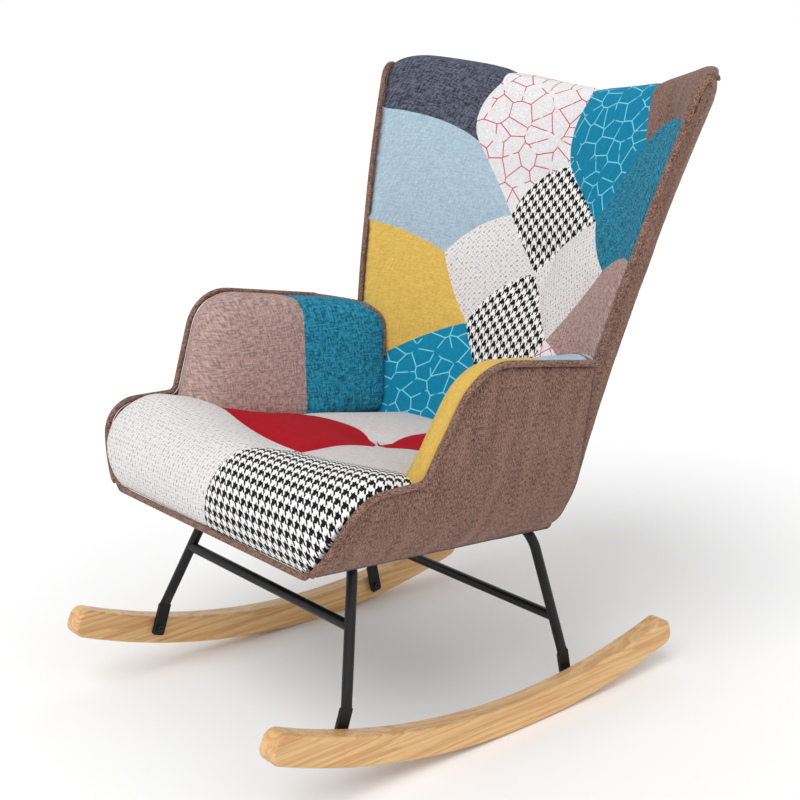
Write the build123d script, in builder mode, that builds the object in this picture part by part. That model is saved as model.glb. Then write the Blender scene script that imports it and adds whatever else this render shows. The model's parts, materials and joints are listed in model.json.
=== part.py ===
"""Rocking armchair: a winged, padded back on a padded seat with arms, carried by two bent-tube leg
frames on two wooden rockers. Millimetres, +Z up, the sitter faces -Y, left is the sitter's left (+X).
Side-view places (y, z) are measured from the line where the rockers touch the floor."""

import os
from math import asin, atan, cos, radians, sin, sqrt, tan

from build123d import *

os.makedirs("parts", exist_ok=True)

# Rockers
rocker_radius = 1180.0
rocker_height = 45.0
rocker_width = 34.0
rocker_spacing = 525.0
rocker_front_reach = 478.0
rocker_rear_reach = 317.0
rocker_end_round = 17.0
rocker_edge_round = 5.0
contact_y = 18.0

# Leg frames: two bent tubes with flattened feet, and the stretchers between their legs
tube_diameter = 16.0
tube_wall = 1.5
tube_bend_radius = 45.0
front_foot_reach = -340.0
rear_foot_reach = 112.0
foot_rise = 30.0
foot_width = 21.0
foot_thickness = 5.0
foot_length = 40.0
foot_below_bolt = 12.0
foot_flare = 26.0
front_leg_top_half = 173.0
rear_leg_top_half = 204.0
front_stretcher_height = 220.0
rear_stretcher_height = 135.0
weld_gap = 0.1

# Fasteners
bolt_diameter = 6.0
bolt_head_diameter = 11.0
bolt_head_height = 3.5
bolt_socket = 4.0
bolt_socket_depth = 2.0
bolt_clearance = 0.3
thread_clearance = 0.05
drill_over = 1.0
spacer_diameter = 13.0
spacer_thickness = 6.0
insert_diameter = 10.0
insert_length = 20.0
seat_bolt_half = 110.0
tee_barrel_diameter = 8.0
tee_barrel_length = 8.5
tee_flange_diameter = 19.0
tee_flange_thickness = 1.5

# Seat board, tilted back; its datum is its under side above the front cross tube
seat_tilt = 5.0
seat_datum_y = -262.0
seat_datum_z = 322.0
seat_board_thickness = 12.0
seat_board_front = -92.0
seat_board_rear = 376.0
seat_board_corner = 30.0
rear_cross_tube = 322.0
dust_cover_thickness = 1.5
dust_cover_margin = 12.0
soft_clearance = 0.4

# Outer side: a flared wall that curls in towards the seat board, from skin (0) inwards
side_knee_x = 311.0
side_knee_z = 437.0
side_flare = 11.7
side_curl_radius = 216.0
side_curl_end = 47.3
side_toe_in = 2.5
side_cover_thickness = 3.6
side_shell_thickness = 8.0
side_shell_inset = 7.0

# Side outline, seen from the side: (y, z, corner radius)
side_rear_y = 60.0
side_rear_bottom_z = 287.0
side_rear_top_z = 562.0
arm_front_top_y = -179.0
arm_front_top_z = 601.0
arm_step_y = -247.0
arm_step_z = 444.0
roll_top_y = -366.0
roll_top_z = 446.0
front_bottom_y = -396.0
front_bottom_z = 331.0
arm_top_round = 75.0
arm_step_round = 20.0
roll_round = 58.0
bottom_round = 12.0
rear_bottom_round = 14.0
rear_top_round = 14.0

# Arm pads
arm_inner_x = 243.0
arm_inner_y = -214.0
arm_inner_z = 428.0
arm_inner_toe_in = 0.164
arm_inner_flare = 0.30
arm_pad_bottom = 70.0
arm_pad_round = 30.0
arm_pad_inset = 5.0
arm_rear_inner_x = 280.0
arm_rear_inner_y = 108.0

# Seat cushion
cushion_half_width = 298.0
cushion_edge_drop = 10.0
cushion_nose_y = -388.0
cushion_nose_z = 390.0
cushion_front_top_y = -305.0
cushion_front_top_z = 447.0
cushion_middle_y = -75.0
cushion_middle_z = 402.0
cushion_rear_y = 150.0
cushion_rear_z = 384.0
cushion_tuft_radius = 46.0
cushion_tuft_depth = 12.0
cushion_dish = 4.0
cushion_crown_power = 8
tuft_flank = 0.35
tuft_rim = 2.0

# Back: side-view lines of its middle and of its wing edge, both rising from the seat board
back_foot_z = 309.0
back_middle_foot_y = 83.0
back_middle_lean = 0.60
back_middle_bow = -65.5
back_wing_foot_y = 62.0
back_wing_lean = 0.13
back_wing_bow = 86.0
back_bow_rise = 640.0
back_half_foot = 233.0
back_flare = 0.182
back_wing_power = 2.3
back_dip_z = 917.0
back_ear_rise = 53.0
back_ear_place = 0.9
back_thickness = 54.0
back_cushion_thickness = 34.0
back_board_thickness = 12.0
back_top_cap = 42.0
back_top_round = 22.0
back_ear_round = 42.0
back_rear_round = 8.0
back_edge_inset = 12.0
back_board_margin = 0.96
back_border_thickness = 4.0
back_layer_share = 1.03
back_layer_round = 2.0
back_room_gap = 1.2
back_border_drop = 17.0
back_border_round = 24.0
back_tuft_z = 630.0
back_tuft_radius = 46.0
back_tuft_depth = 13.0

# Brackets that hold the back to the seat board
bracket_half = 160.0
bracket_width = 30.0
bracket_thickness = 3.0
bracket_seat_length = 105.0
bracket_back_z = 352.0
bracket_rise = 60.0
bracket_gap = 1.7
bracket_seat_pitch = 20.0
bracket_back_pitch = 44.0
bracket_bolt_length = 5.5
bracket_end = 16.0
bracket_clearance = 0.2

# Piping cord
piping_diameter = 9.0
piping_gap = 0.3
front_piping_gap = 0.3
curved_piping_gap = 1.5
top_piping_gap = 3.4
wing_piping_foot_z = 575.0
wing_piping_runs = 4
top_piping_reach = 0.9
top_piping_runs = 12
piping_corner_share = 0.45

# Worked out from the sizes above
tube_radius = tube_diameter / 2
bolt_radius = bolt_diameter / 2
rocker_middle = rocker_spacing / 2
rocker_inner_face = rocker_middle - rocker_width / 2
foot_middle = rocker_inner_face - spacer_thickness - foot_thickness / 2
piping_radius = piping_diameter / 2
tilt = radians(seat_tilt)
flare = radians(side_flare)
toe = tan(radians(side_toe_in))
board_top = seat_board_thickness


def side_plane(x):
    """The plane seen from the sitter's left at x, with y and z as its own axes."""
    return Plane(origin=(x, contact_y, 0), x_dir=(0, 1, 0), z_dir=(1, 0, 0))


def at(x, y, z):
    """A side-view place as a point in the chair's frame."""
    return Vector(x, y + contact_y, z)


def on_seat(along, up):
    """Side-view (y, z) of a place along and above the under side of the seat board."""
    y = seat_datum_y + along * cos(tilt) + up * sin(tilt)
    z = seat_datum_z - along * sin(tilt) + up * cos(tilt)
    return y, z


def board_top_z(y):
    """Height of the seat board's top at a side-view y."""
    return seat_datum_z + board_top / cos(tilt) - tan(tilt) * (y - seat_datum_y)


def seat_plane(up):
    """A plane parallel to the seat board, with its origin over the front cross tube."""
    y, z = on_seat(0, up)
    return Plane(origin=at(0, y, z), x_dir=(1, 0, 0), z_dir=(0, sin(tilt), cos(tilt)))


def arc_place(reach, rise):
    """Side-view place on a rocker, rise above its under side, at a reach behind the contact line."""
    radius = rocker_radius - rise
    angle = asin(reach / radius)
    return radius * sin(angle), rocker_radius - radius * cos(angle)


def offset_corners(corners, out):
    """Moves the sides of a closed outline out; corners run anticlockwise as (y, z, radius)."""
    moved = []
    for i, (y, z, radius) in enumerate(corners):
        before = corners[i - 1]
        after = corners[(i + 1) % len(corners)]
        a = Vector(y - before[0], z - before[1]).normalized()
        b = Vector(after[0] - y, after[1] - z).normalized()
        turn = a.X * b.Y - a.Y * b.X
        shift = (b - a) * (-out / turn)
        moved.append((y + shift.X, z + shift.Y, max(radius + (out if turn > 0 else -out), 1.0)))
    return moved


def cord(points, radii):
    """A round cord along straight runs joined by tangent arcs."""
    with BuildPart() as run:
        with BuildLine() as route:
            FilletPolyline(*points, radius=radii)
        with BuildSketch(Plane(origin=route.line @ 0, z_dir=route.line % 0)):
            Circle(piping_radius)
        sweep(path=route.line)
    return run.part


# Rockers, each with two blind holes for the threaded inserts
front_bolt = arc_place(front_foot_reach, foot_rise)
rear_bolt = arc_place(rear_foot_reach, foot_rise)


def rocker_arc(radius, *angles):
    """An arc about the rocker's centre, in the side view."""
    return ThreePointArc(*((radius * sin(a), rocker_radius - radius * cos(a)) for a in angles))


front_angle = -asin(rocker_front_reach / (rocker_radius - rocker_height / 2))
rear_angle = asin(rocker_rear_reach / (rocker_radius - rocker_height / 2))
middle_angle = (front_angle + rear_angle) / 2
top_radius = rocker_radius - rocker_height
with BuildPart() as rocker_left:
    with BuildSketch(side_plane(rocker_inner_face)):
        with BuildLine():
            under = rocker_arc(rocker_radius, front_angle, middle_angle, rear_angle)
            upper = rocker_arc(top_radius, rear_angle, middle_angle, front_angle)
            Line(under @ 1, upper @ 0)
            Line(upper @ 1, under @ 0)
        make_face()
        fillet(vertices(), rocker_end_round)
    extrude(amount=rocker_width)
    fillet(faces().sort_by(Axis.X)[0].edges() + faces().sort_by(Axis.X)[-1].edges(), rocker_edge_round)
    with BuildSketch(side_plane(rocker_inner_face)):
        with Locations(front_bolt, rear_bolt):
            Circle(insert_diameter / 2)
    extrude(amount=insert_length, mode=Mode.SUBTRACT)
rocker_left.part.label = "rocker_left"
with BuildPart() as rocker_right:
    mirror(rocker_left.part, about=Plane.YZ)
rocker_right.part.label = "rocker_right"


# Leg frames
class LegFrame:
    """Places on one bent-tube frame: its left foot, its left leg's axis and its cross tube."""

    def __init__(self, bolt, along, top_half):
        self.bolt = bolt
        y, z = on_seat(along, -dust_cover_thickness - tube_radius)
        self.corner = at(top_half, y, z)
        rise = Vector(0, y - bolt[0], z - bolt[1]).normalized()
        self.rise = rise
        self.across = Vector(0, rise.Z, -rise.Y)
        self.foot_top = at(foot_middle, *bolt) + rise * foot_length
        self.leg = (self.corner - self.foot_top).normalized()
        self.tube_end = self.foot_top + self.leg * foot_flare

    def leg_at(self, z):
        """The point of the left leg's axis at a height."""
        share = (z - self.foot_top.Z) / (self.corner.Z - self.foot_top.Z)
        return self.foot_top + (self.corner - self.foot_top) * share


def mirrored(point):
    return Vector(-point.X, point.Y, point.Z)


front_frame = LegFrame(front_bolt, 0.0, front_leg_top_half)
rear_frame = LegFrame(rear_bolt, rear_cross_tube, rear_leg_top_half)


def leg_foot(frame):
    """The flattened left foot and the flare that joins it to the tube."""
    with BuildPart() as foot:
        with BuildSketch(Plane(origin=frame.foot_top, x_dir=frame.across, z_dir=frame.rise)):
            Ellipse(foot_width / 2, foot_thickness / 2)
        with BuildSketch(Plane(origin=frame.tube_end, x_dir=frame.across, z_dir=frame.leg)):
            Circle(tube_radius)
        loft()
        inner = at(foot_middle - foot_thickness / 2, *frame.bolt)
        with BuildSketch(Plane(origin=inner, x_dir=frame.across, z_dir=(1, 0, 0))):
            with Locations((0, (foot_length - foot_below_bolt) / 2)):
                Rectangle(foot_width, foot_length + foot_below_bolt)
            fillet(vertices().sort_by(Axis.Y)[:2], foot_width / 5)
            Circle(bolt_radius + bolt_clearance, mode=Mode.SUBTRACT)
        extrude(amount=foot_thickness)
    return foot.part


def seat_bolt_places(along):
    return [(x, along) for x in (-seat_bolt_half, seat_bolt_half)]


def leg_frame_part(frame, along):
    with BuildPart() as hoop:
        with BuildLine() as route:
            FilletPolyline(
                frame.tube_end, frame.corner, mirrored(frame.corner), mirrored(frame.tube_end),
                radius=tube_bend_radius,
            )
        with BuildSketch(Plane(origin=route.line @ 0, z_dir=route.line % 0)):
            Circle(tube_radius)
            Circle(tube_radius - tube_wall, mode=Mode.SUBTRACT)
        sweep(path=route.line)
        foot = leg_foot(frame)
        add(foot)
        add(foot.mirror(Plane.YZ))
        with BuildSketch(seat_plane(0)):
            with Locations(*seat_bolt_places(along)):
                Circle(bolt_radius + bolt_clearance)
        extrude(amount=-dust_cover_thickness - tube_diameter - drill_over, mode=Mode.SUBTRACT)
    return hoop.part


with BuildPart() as front_leg_hoop:
    add(leg_frame_part(front_frame, 0.0))
front_leg_hoop.part.label = "front_leg_hoop"
with BuildPart() as rear_leg_hoop:
    add(leg_frame_part(rear_frame, rear_cross_tube))
rear_leg_hoop.part.label = "rear_leg_hoop"


def stretcher_part(frame, height):
    """A tube between the legs, coped to fit round both."""
    end = frame.leg_at(height)
    with BuildPart() as bar:
        with BuildSketch(Plane(origin=mirrored(end), z_dir=(1, 0, 0))):
            Circle(tube_radius)
            Circle(tube_radius - tube_wall, mode=Mode.SUBTRACT)
        extrude(amount=2 * end.X)
        for foot, axis in ((frame.foot_top, frame.leg), (mirrored(frame.foot_top), mirrored(frame.leg))):
            with BuildSketch(Plane(origin=foot, z_dir=axis)):
                Circle(tube_radius + weld_gap)
            extrude(amount=(frame.corner - frame.foot_top).length, mode=Mode.SUBTRACT)
    return bar.part


with BuildPart() as front_stretcher:
    add(stretcher_part(front_frame, front_stretcher_height))
front_stretcher.part.label = "front_stretcher"
with BuildPart() as rear_stretcher:
    add(stretcher_part(rear_frame, rear_stretcher_height))
rear_stretcher.part.label = "rear_stretcher"

# Rocker bolts, spacers and threaded inserts, one of each at every foot
foot_inner = foot_middle - foot_thickness / 2
shank_length = foot_thickness + spacer_thickness + insert_length - bolt_diameter
with BuildPart() as rocker_bolts:
    for bolt in (front_bolt, rear_bolt):
        with BuildSketch(side_plane(foot_inner)):
            with Locations(bolt):
                Circle(bolt_radius)
        extrude(amount=shank_length)
        with BuildSketch(side_plane(foot_inner)):
            with Locations(bolt):
                Circle(bolt_head_diameter / 2)
        extrude(amount=-bolt_head_height)
        with BuildSketch(side_plane(foot_inner - bolt_head_height)):
            with Locations(bolt):
                RegularPolygon(bolt_socket / 2, 6, major_radius=False)
        extrude(amount=bolt_socket_depth, mode=Mode.SUBTRACT)
    mirror(about=Plane.YZ)
rocker_bolts.part.label = "rocker_bolts"
with BuildPart() as rocker_spacers:
    with BuildSketch(side_plane(rocker_inner_face)):
        with Locations(front_bolt, rear_bolt):
            Circle(spacer_diameter / 2)
            Circle(bolt_radius + bolt_clearance, mode=Mode.SUBTRACT)
    extrude(amount=-spacer_thickness)
    mirror(about=Plane.YZ)
rocker_spacers.part.label = "rocker_spacers"
with BuildPart() as rocker_inserts:
    with BuildSketch(side_plane(rocker_inner_face)):
        with Locations(front_bolt, rear_bolt):
            Circle(insert_diameter / 2)
            Circle(bolt_radius + thread_clearance, mode=Mode.SUBTRACT)
    extrude(amount=insert_length)
    mirror(about=Plane.YZ)
rocker_inserts.part.label = "rocker_inserts"

# Side walls: flared and curled, extruded back along the seat's tilt and toe-in
curl_centre = (
    side_knee_x - side_curl_radius * cos(flare),
    side_knee_z + side_curl_radius * sin(flare),
)
side_run = Vector(-toe, 1, -tan(tilt))
side_start_y = front_bottom_y - 3 * piping_diameter
side_length = (side_rear_y - side_start_y) + 6 * piping_diameter
side_top_rise = 200.0


def side_section(depth, start_y):
    """Corners of the side wall's line at a depth under the skin, in the plane y = start_y."""
    shift_x = -toe * (start_y - seat_datum_y)
    shift_z = -tan(tilt) * (start_y - seat_datum_y)
    knee = (
        side_knee_x - depth * cos(flare) + shift_x,
        side_knee_z + depth * sin(flare) + shift_z,
    )
    top = (knee[0] + side_top_rise * tan(flare), knee[1] + side_top_rise)
    radius = side_curl_radius - depth
    centre = (curl_centre[0] + shift_x, curl_centre[1] + shift_z)
    curl = []
    for share in (0.5, 1.0):
        angle = flare + (radians(side_curl_end) - flare) * share
        curl.append((centre[0] + radius * cos(angle), centre[1] - radius * sin(angle)))
    return top, knee, curl[0], curl[1]


def side_skin_x(y, z):
    """x of the outer skin of the left side at a side-view place."""
    up = z + tan(tilt) * (y - seat_datum_y)
    if up >= side_knee_z:
        x = side_knee_x + (up - side_knee_z) * tan(flare)
    else:
        drop = min(curl_centre[1] - up, side_curl_radius * sin(radians(side_curl_end)))
        x = curl_centre[0] + sqrt(side_curl_radius**2 - drop**2)
    return x - toe * (y - seat_datum_y)


side_corners = [
    (front_bottom_y, front_bottom_z, bottom_round),
    (side_rear_y, side_rear_bottom_z, rear_bottom_round),
    (side_rear_y, side_rear_top_z, rear_top_round),
    (arm_front_top_y, arm_front_top_z, arm_top_round),
    (arm_step_y, arm_step_z, arm_step_round),
    (roll_top_y, roll_top_z, roll_round),
]


def side_wall(outer_depth, inner_depth, inset):
    """The left side wall between two depths, inside the side outline drawn in by an inset."""
    plane = Plane(origin=at(0, side_start_y, 0), x_dir=(1, 0, 0), z_dir=(0, -1, 0))
    corners = offset_corners(side_corners, -inset)
    with BuildPart() as wall:
        with BuildSketch(plane):
            with BuildLine():
                top, knee, mid, end = side_section(outer_depth, side_start_y)
                in_top, in_knee, in_mid, in_end = side_section(inner_depth, side_start_y)
                Line(top, knee)
                ThreePointArc(knee, mid, end)
                Line(end, in_end)
                ThreePointArc(in_end, in_mid, in_knee)
                Line(in_knee, in_top)
                Line(in_top, top)
            make_face()
        extrude(amount=side_length * side_run.length, dir=side_run)
        with BuildSketch(side_plane(0)):
            with BuildLine():
                FilletPolyline(*(c[:2] for c in corners), radius=[c[2] for c in corners], close=True)
            make_face()
        extrude(amount=side_knee_x * 2, mode=Mode.INTERSECT)
    return wall.part


shell_outer = side_cover_thickness + soft_clearance
shell_inner = shell_outer + side_shell_thickness
with BuildPart() as side_cover_left:
    add(side_wall(0, side_cover_thickness, 0))
side_cover_left.part.label = "side_cover_left"
with BuildPart() as side_shell_left:
    add(side_wall(shell_outer, shell_inner, side_shell_inset))
side_shell_left.part.label = "side_shell_left"
with BuildPart() as side_cover_right:
    mirror(side_cover_left.part, about=Plane.YZ)
side_cover_right.part.label = "side_cover_right"
with BuildPart() as side_shell_right:
    mirror(side_shell_left.part, about=Plane.YZ)
side_shell_right.part.label = "side_shell_right"


def side_room():
    """What lies outside the left side wall's inner face."""
    plane = Plane(origin=at(0, side_start_y, 0), x_dir=(1, 0, 0), z_dir=(0, -1, 0))
    far = 3 * side_knee_x
    room_length = side_length + cushion_rear_y
    with BuildPart() as room:
        with BuildSketch(plane):
            with BuildLine():
                top, knee, mid, end = side_section(shell_inner + soft_clearance, side_start_y)
                Line(top, knee)
                ThreePointArc(knee, mid, end)
                Polyline(end, (end[0], 0), (far, 0), (far, top[1]), top)
            make_face()
        extrude(amount=room_length * side_run.length, dir=side_run)
    return room.part


# Seat board, with recessed holes for the tee nuts, between the curled side walls
shell_foot_x = side_section(shell_inner, seat_datum_y)[3][0] - soft_clearance


def board_half_width(along):
    return shell_foot_x - toe * along


def board_outline(front, rear, margin):
    half_front = board_half_width(front) - margin
    half_rear = board_half_width(rear) - margin
    return [(-half_front, front), (half_front, front), (half_rear, rear), (-half_rear, rear)]


hole_places = seat_bolt_places(0.0) + seat_bolt_places(rear_cross_tube)
with BuildPart() as seat_board:
    with BuildSketch(seat_plane(0)):
        with BuildLine():
            Polyline(*board_outline(seat_board_front, seat_board_rear, 0), close=True)
        make_face()
        fillet(vertices(), seat_board_corner)
        with Locations(*hole_places):
            Circle(tee_barrel_diameter / 2 + thread_clearance, mode=Mode.SUBTRACT)
    extrude(amount=seat_board_thickness)
    with BuildSketch(seat_plane(board_top)):
        with Locations(*hole_places):
            Circle(tee_flange_diameter / 2 + thread_clearance)
    extrude(amount=-tee_flange_thickness - thread_clearance, mode=Mode.SUBTRACT)

with BuildPart() as dust_cover:
    with BuildSketch(seat_plane(0)):
        with BuildLine():
            Polyline(*board_outline(seat_board_front, seat_board_rear, dust_cover_margin), close=True)
        make_face()
        fillet(vertices(), seat_board_corner)
        with Locations(*hole_places):
            Circle(bolt_radius + bolt_clearance, mode=Mode.SUBTRACT)
    extrude(amount=-dust_cover_thickness)

with BuildPart() as seat_bolts:
    with BuildSketch(seat_plane(-dust_cover_thickness - tube_diameter)):
        with Locations(*hole_places):
            Circle(bolt_radius)
    extrude(amount=tube_diameter + dust_cover_thickness + seat_board_thickness - tee_flange_thickness)
    with BuildSketch(seat_plane(-dust_cover_thickness - tube_diameter)):
        with Locations(*hole_places):
            Circle(bolt_head_diameter / 2)
    extrude(amount=-bolt_head_height)
    with BuildSketch(seat_plane(-dust_cover_thickness - tube_diameter - bolt_head_height)):
        with Locations(*hole_places):
            RegularPolygon(bolt_socket / 2, 6, major_radius=False)
    extrude(amount=bolt_socket_depth, mode=Mode.SUBTRACT)
seat_bolts.part.label = "seat_bolts"

with BuildPart() as seat_tee_nuts:
    with BuildSketch(seat_plane(board_top)):
        with Locations(*hole_places):
            Circle(tee_flange_diameter / 2)
    extrude(amount=-tee_flange_thickness)
    with BuildSketch(seat_plane(board_top)):
        with Locations(*hole_places):
            Circle(tee_barrel_diameter / 2)
    extrude(amount=-tee_barrel_length)
    with BuildSketch(seat_plane(board_top)):
        with Locations(*hole_places):
            Circle(bolt_radius + thread_clearance)
    extrude(amount=-tee_barrel_length, mode=Mode.SUBTRACT)
seat_tee_nuts.part.label = "seat_tee_nuts"


# Back: sections on planes that fan out from one line under the chair, so that its sides flare
fan_apex_z = back_foot_z - back_half_foot / back_flare


def fan_plane(share):
    """The plane at a share of the back's half width; its own axes are y and the height in it."""
    angle = atan(share * back_flare)
    return Plane(origin=at(0, 0, fan_apex_z), x_dir=(0, 1, 0), z_dir=(cos(angle), 0, -sin(angle)))


def fan_height(share, z):
    """Height in a fan plane of a place at z."""
    return (z - fan_apex_z) / cos(atan(share * back_flare))


def back_half_width(z):
    return (z - fan_apex_z) * back_flare


def middle_front(z):
    rise = z - back_foot_z
    return back_middle_foot_y + back_middle_lean * rise + back_middle_bow * (rise / back_bow_rise) ** 2


def wing_front(z):
    rise = z - back_foot_z
    return back_wing_foot_y + back_wing_lean * rise + back_wing_bow * (rise / back_bow_rise) ** 2


def back_front(share, z):
    """Side-view y of the back's front face."""
    return middle_front(z) - (middle_front(z) - wing_front(z)) * abs(share) ** back_wing_power


def back_top(share):
    """Height of the back's top edge: a dip in the middle, ears near the sides."""
    return back_dip_z + back_ear_rise * min(abs(share) / back_ear_place, 1.0) ** 2


def ease(share):
    """0 in the middle of the back, 1 at its sides."""
    return min(abs(share) / back_ear_place, 1.0) ** 2


def back_stand(share, depth):
    """Height at which a line of the back, at a depth behind its front face, meets the seat board."""
    z = back_foot_z
    for _ in range(6):
        z = board_top_z(back_front(share, z) + depth) + soft_clearance
    return z


def back_face(share, front, rear, top, inset, front_round, rear_round, foot_z=None):
    """One closed section of the back, front and rear being depths behind the front face."""
    high = top - inset
    middle = (back_foot_z + high) / 2
    lines = []
    for depth in (front + inset, rear):
        low = foot_z or back_stand(share, depth)
        lines.append([(back_front(share, z) + depth, fan_height(share, z)) for z in (low, middle, high)])
    ahead, behind = lines
    with BuildSketch(fan_plane(share)) as section:
        with BuildLine():
            ThreePointArc(*ahead)
            Line(ahead[2], behind[2])
            ThreePointArc(*behind)
            Line(behind[0], ahead[0])
        make_face()
        fillet(vertices().sort_by_distance(behind[2])[0], rear_round)
        fillet(vertices().sort_by_distance(ahead[2])[0], front_round)
        if foot_z:
            fillet(vertices().sort_by_distance(behind[0])[0], back_border_round)
    return section.sketch


inner_shares = (-0.97, -0.85, -0.6, -0.3, 0.0, 0.3, 0.6, 0.85, 0.97)


def back_body(front, rear):
    """The whole back between two depths, with drawn-in edges and a rounded top."""
    sections = []
    for share in (-1.0,) + inner_shares + (1.0,):
        inset = back_edge_inset if abs(share) == 1.0 else 0.0
        front_round = back_top_round + (back_ear_round - back_top_round) * ease(share)
        rear_round = back_top_round + (back_rear_round - back_top_round) * ease(share)
        sections.append(back_face(share, front, rear, back_top(share), inset, front_round, rear_round))
    with BuildPart() as body:
        loft(sections=sections)
    return body.part


def back_layer(front, rear, top_drop, reach):
    """A layer of the back between two depths, out to a share of the back's half width."""
    sections = []
    for share in (-back_layer_share,) + inner_shares + (back_layer_share,):
        top = back_top(share) - top_drop
        sections.append(back_face(share, front, rear, top, 0, back_layer_round, back_layer_round))
    with BuildPart() as layer:
        loft(sections=sections)
        if reach < back_layer_share:
            split(bisect_by=fan_plane(reach), keep=Keep.BOTTOM)
            split(bisect_by=fan_plane(-reach), keep=Keep.TOP)
    return layer.part


cushion_back = back_cushion_thickness
board_front = cushion_back + soft_clearance
board_back = board_front + back_board_thickness
pad_front = board_back + soft_clearance
with BuildPart() as back_cushion:
    add(back_body(0, back_thickness))
    add(back_layer(cushion_back, 2 * back_thickness, back_top_cap, back_layer_share), mode=Mode.SUBTRACT)
    with BuildSketch(side_plane(0)):
        tuft_rise = back_tuft_z - back_foot_z
        lean = atan(back_middle_lean + 2 * back_middle_bow * tuft_rise / back_bow_rise**2)
        face = Vector(middle_front(back_tuft_z), back_tuft_z)
        inward = Vector(cos(lean), -sin(lean))
        along = Vector(sin(lean), cos(lean))
        tip = face + inward * back_tuft_depth
        rim = face + along * back_tuft_radius - inward * tuft_rim
        side = face + (along * back_tuft_radius + inward * back_tuft_depth) * tuft_flank
        with BuildLine():
            ThreePointArc(tip, side, rim)
            Polyline(rim, face - inward * tuft_rim, tip)
        make_face()
    revolve(axis=Axis(at(0, face.X, face.Y), Vector(0, inward.X, inward.Y)), mode=Mode.SUBTRACT)
back_cushion.part.label = "back_cushion"
with BuildPart() as back_board:
    add(back_layer(board_front, board_back, back_top_cap + soft_clearance, back_board_margin))
back_board.part.label = "back_board"
with BuildPart() as outer_back_pad:
    add(back_layer(pad_front, back_thickness, back_top_cap + soft_clearance, 1.0))
outer_back_pad.part.label = "outer_back_pad"


def back_border_part():
    """The flat strip on the back's left side, from the wing's edge to the rear."""
    low = back_foot_z - back_border_drop
    with BuildPart() as strip:
        add(
            back_face(
                1.0, 0, back_thickness, back_top(1.0), back_edge_inset, back_ear_round, back_rear_round, low
            )
        )
        extrude(amount=back_border_thickness, dir=fan_plane(1.0).z_dir)
    return strip.part


with BuildPart() as back_border_left:
    add(back_border_part())
back_border_left.part.label = "back_border_left"
with BuildPart() as back_border_right:
    mirror(back_border_left.part, about=Plane.YZ)
back_border_right.part.label = "back_border_right"

# The room that the back takes, for cutting the soft pieces in front of it
back_room_rear = 5 * back_thickness
back_rooms = (
    back_body(-back_room_gap, back_room_rear),
    back_layer(-back_room_gap, back_room_rear, 0, back_layer_share),
)

# Arm pads: from the side shell in to a tapered, flared inner face
arm_inner_normal = Vector(1, arm_inner_toe_in, -arm_inner_flare).normalized()
arm_inner_point = at(arm_inner_x, arm_inner_y, arm_inner_z)
arm_rear_outer_x = side_skin_x(side_rear_y, side_rear_top_z)
arm_rear_plane = Plane(
    origin=at(arm_rear_inner_x, arm_rear_inner_y, 0),
    z_dir=(arm_rear_inner_y - side_rear_y, arm_rear_outer_x - arm_rear_inner_x, 0),
)


def arm_outline(out):
    """Side view of an arm pad, let out by a clearance; it runs on into the back."""
    inset = offset_corners(side_corners, out - arm_pad_inset)
    rear_top, front_top, step = (Vector(c[0], c[1]) for c in inset[2:5])
    slope = (rear_top - front_top).normalized()
    behind = front_top + slope * (back_thickness + middle_front(front_top.Y) - front_top.X)
    foot_y, foot_z = on_seat(0, arm_pad_bottom - out)
    down = (step - front_top).normalized()
    gap = front_top.Y - foot_z + tan(tilt) * (front_top.X - foot_y)
    foot = front_top + down * (gap / (-down.Y - tan(tilt) * down.X))
    heel = Vector(behind.X, foot_z - tan(tilt) * (behind.X - foot_y))
    return foot, heel, behind, front_top


def arm_block(out):
    foot, heel, behind, front_top = arm_outline(out)
    with BuildPart() as block:
        with BuildSketch(side_plane(0)):
            with BuildLine():
                Polyline(foot, heel, behind, front_top, close=True)
            make_face()
            fillet(vertices().sort_by_distance(front_top)[0], arm_top_round + out - arm_pad_inset)
        extrude(amount=2 * side_knee_x)
        inner = Plane(arm_inner_point - arm_inner_normal * out, z_dir=arm_inner_normal)
        split(bisect_by=inner, keep=Keep.TOP)
    return block.part


with BuildPart() as arm_pad_left:
    add(arm_block(0))
    add(side_room(), mode=Mode.SUBTRACT)
    inner_face = faces().sort_by(lambda f: (f.normal_at() + arm_inner_normal).length)[0]
    fillet(inner_face.edges().sort_by(Axis.Y)[:-1].sort_by(Axis.Z)[1:], arm_pad_round)
    split(bisect_by=arm_rear_plane, keep=Keep.BOTTOM)
    for room in back_rooms:
        add(room, mode=Mode.SUBTRACT)
arm_pad_left.part.label = "arm_pad_left"
with BuildPart() as arm_pad_right:
    mirror(arm_pad_left.part, about=Plane.YZ)
arm_pad_right.part.label = "arm_pad_right"


nose_foot_y = front_bottom_y + piping_diameter


# Seat cushion: a front roll over the board's edge, a dished top and a sewn tuft
def cushion_face(x, drop):
    lip_y = on_seat(seat_board_front, 0)[0] - soft_clearance
    nose_foot = (nose_foot_y + drop, front_bottom_z)
    roll = (cushion_front_top_y, cushion_front_top_z - drop)
    middle = (cushion_middle_y, cushion_middle_z - drop)
    half_way = ((roll[0] + middle[0]) / 2, (roll[1] + middle[1]) / 2 - cushion_dish)
    rear_top = (cushion_rear_y, cushion_rear_z - drop)
    rear_foot = (cushion_rear_y, board_top_z(cushion_rear_y) + soft_clearance)
    with BuildSketch(side_plane(x)) as section:
        with BuildLine():
            nose = ThreePointArc(nose_foot, (cushion_nose_y + drop, cushion_nose_z), roll)
            ThreePointArc(roll, half_way, middle)
            Polyline(
                middle, rear_top, rear_foot, (lip_y, board_top_z(lip_y) + soft_clearance),
                (lip_y, front_bottom_z), nose_foot,
            )
        make_face()
    return section.sketch


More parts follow.
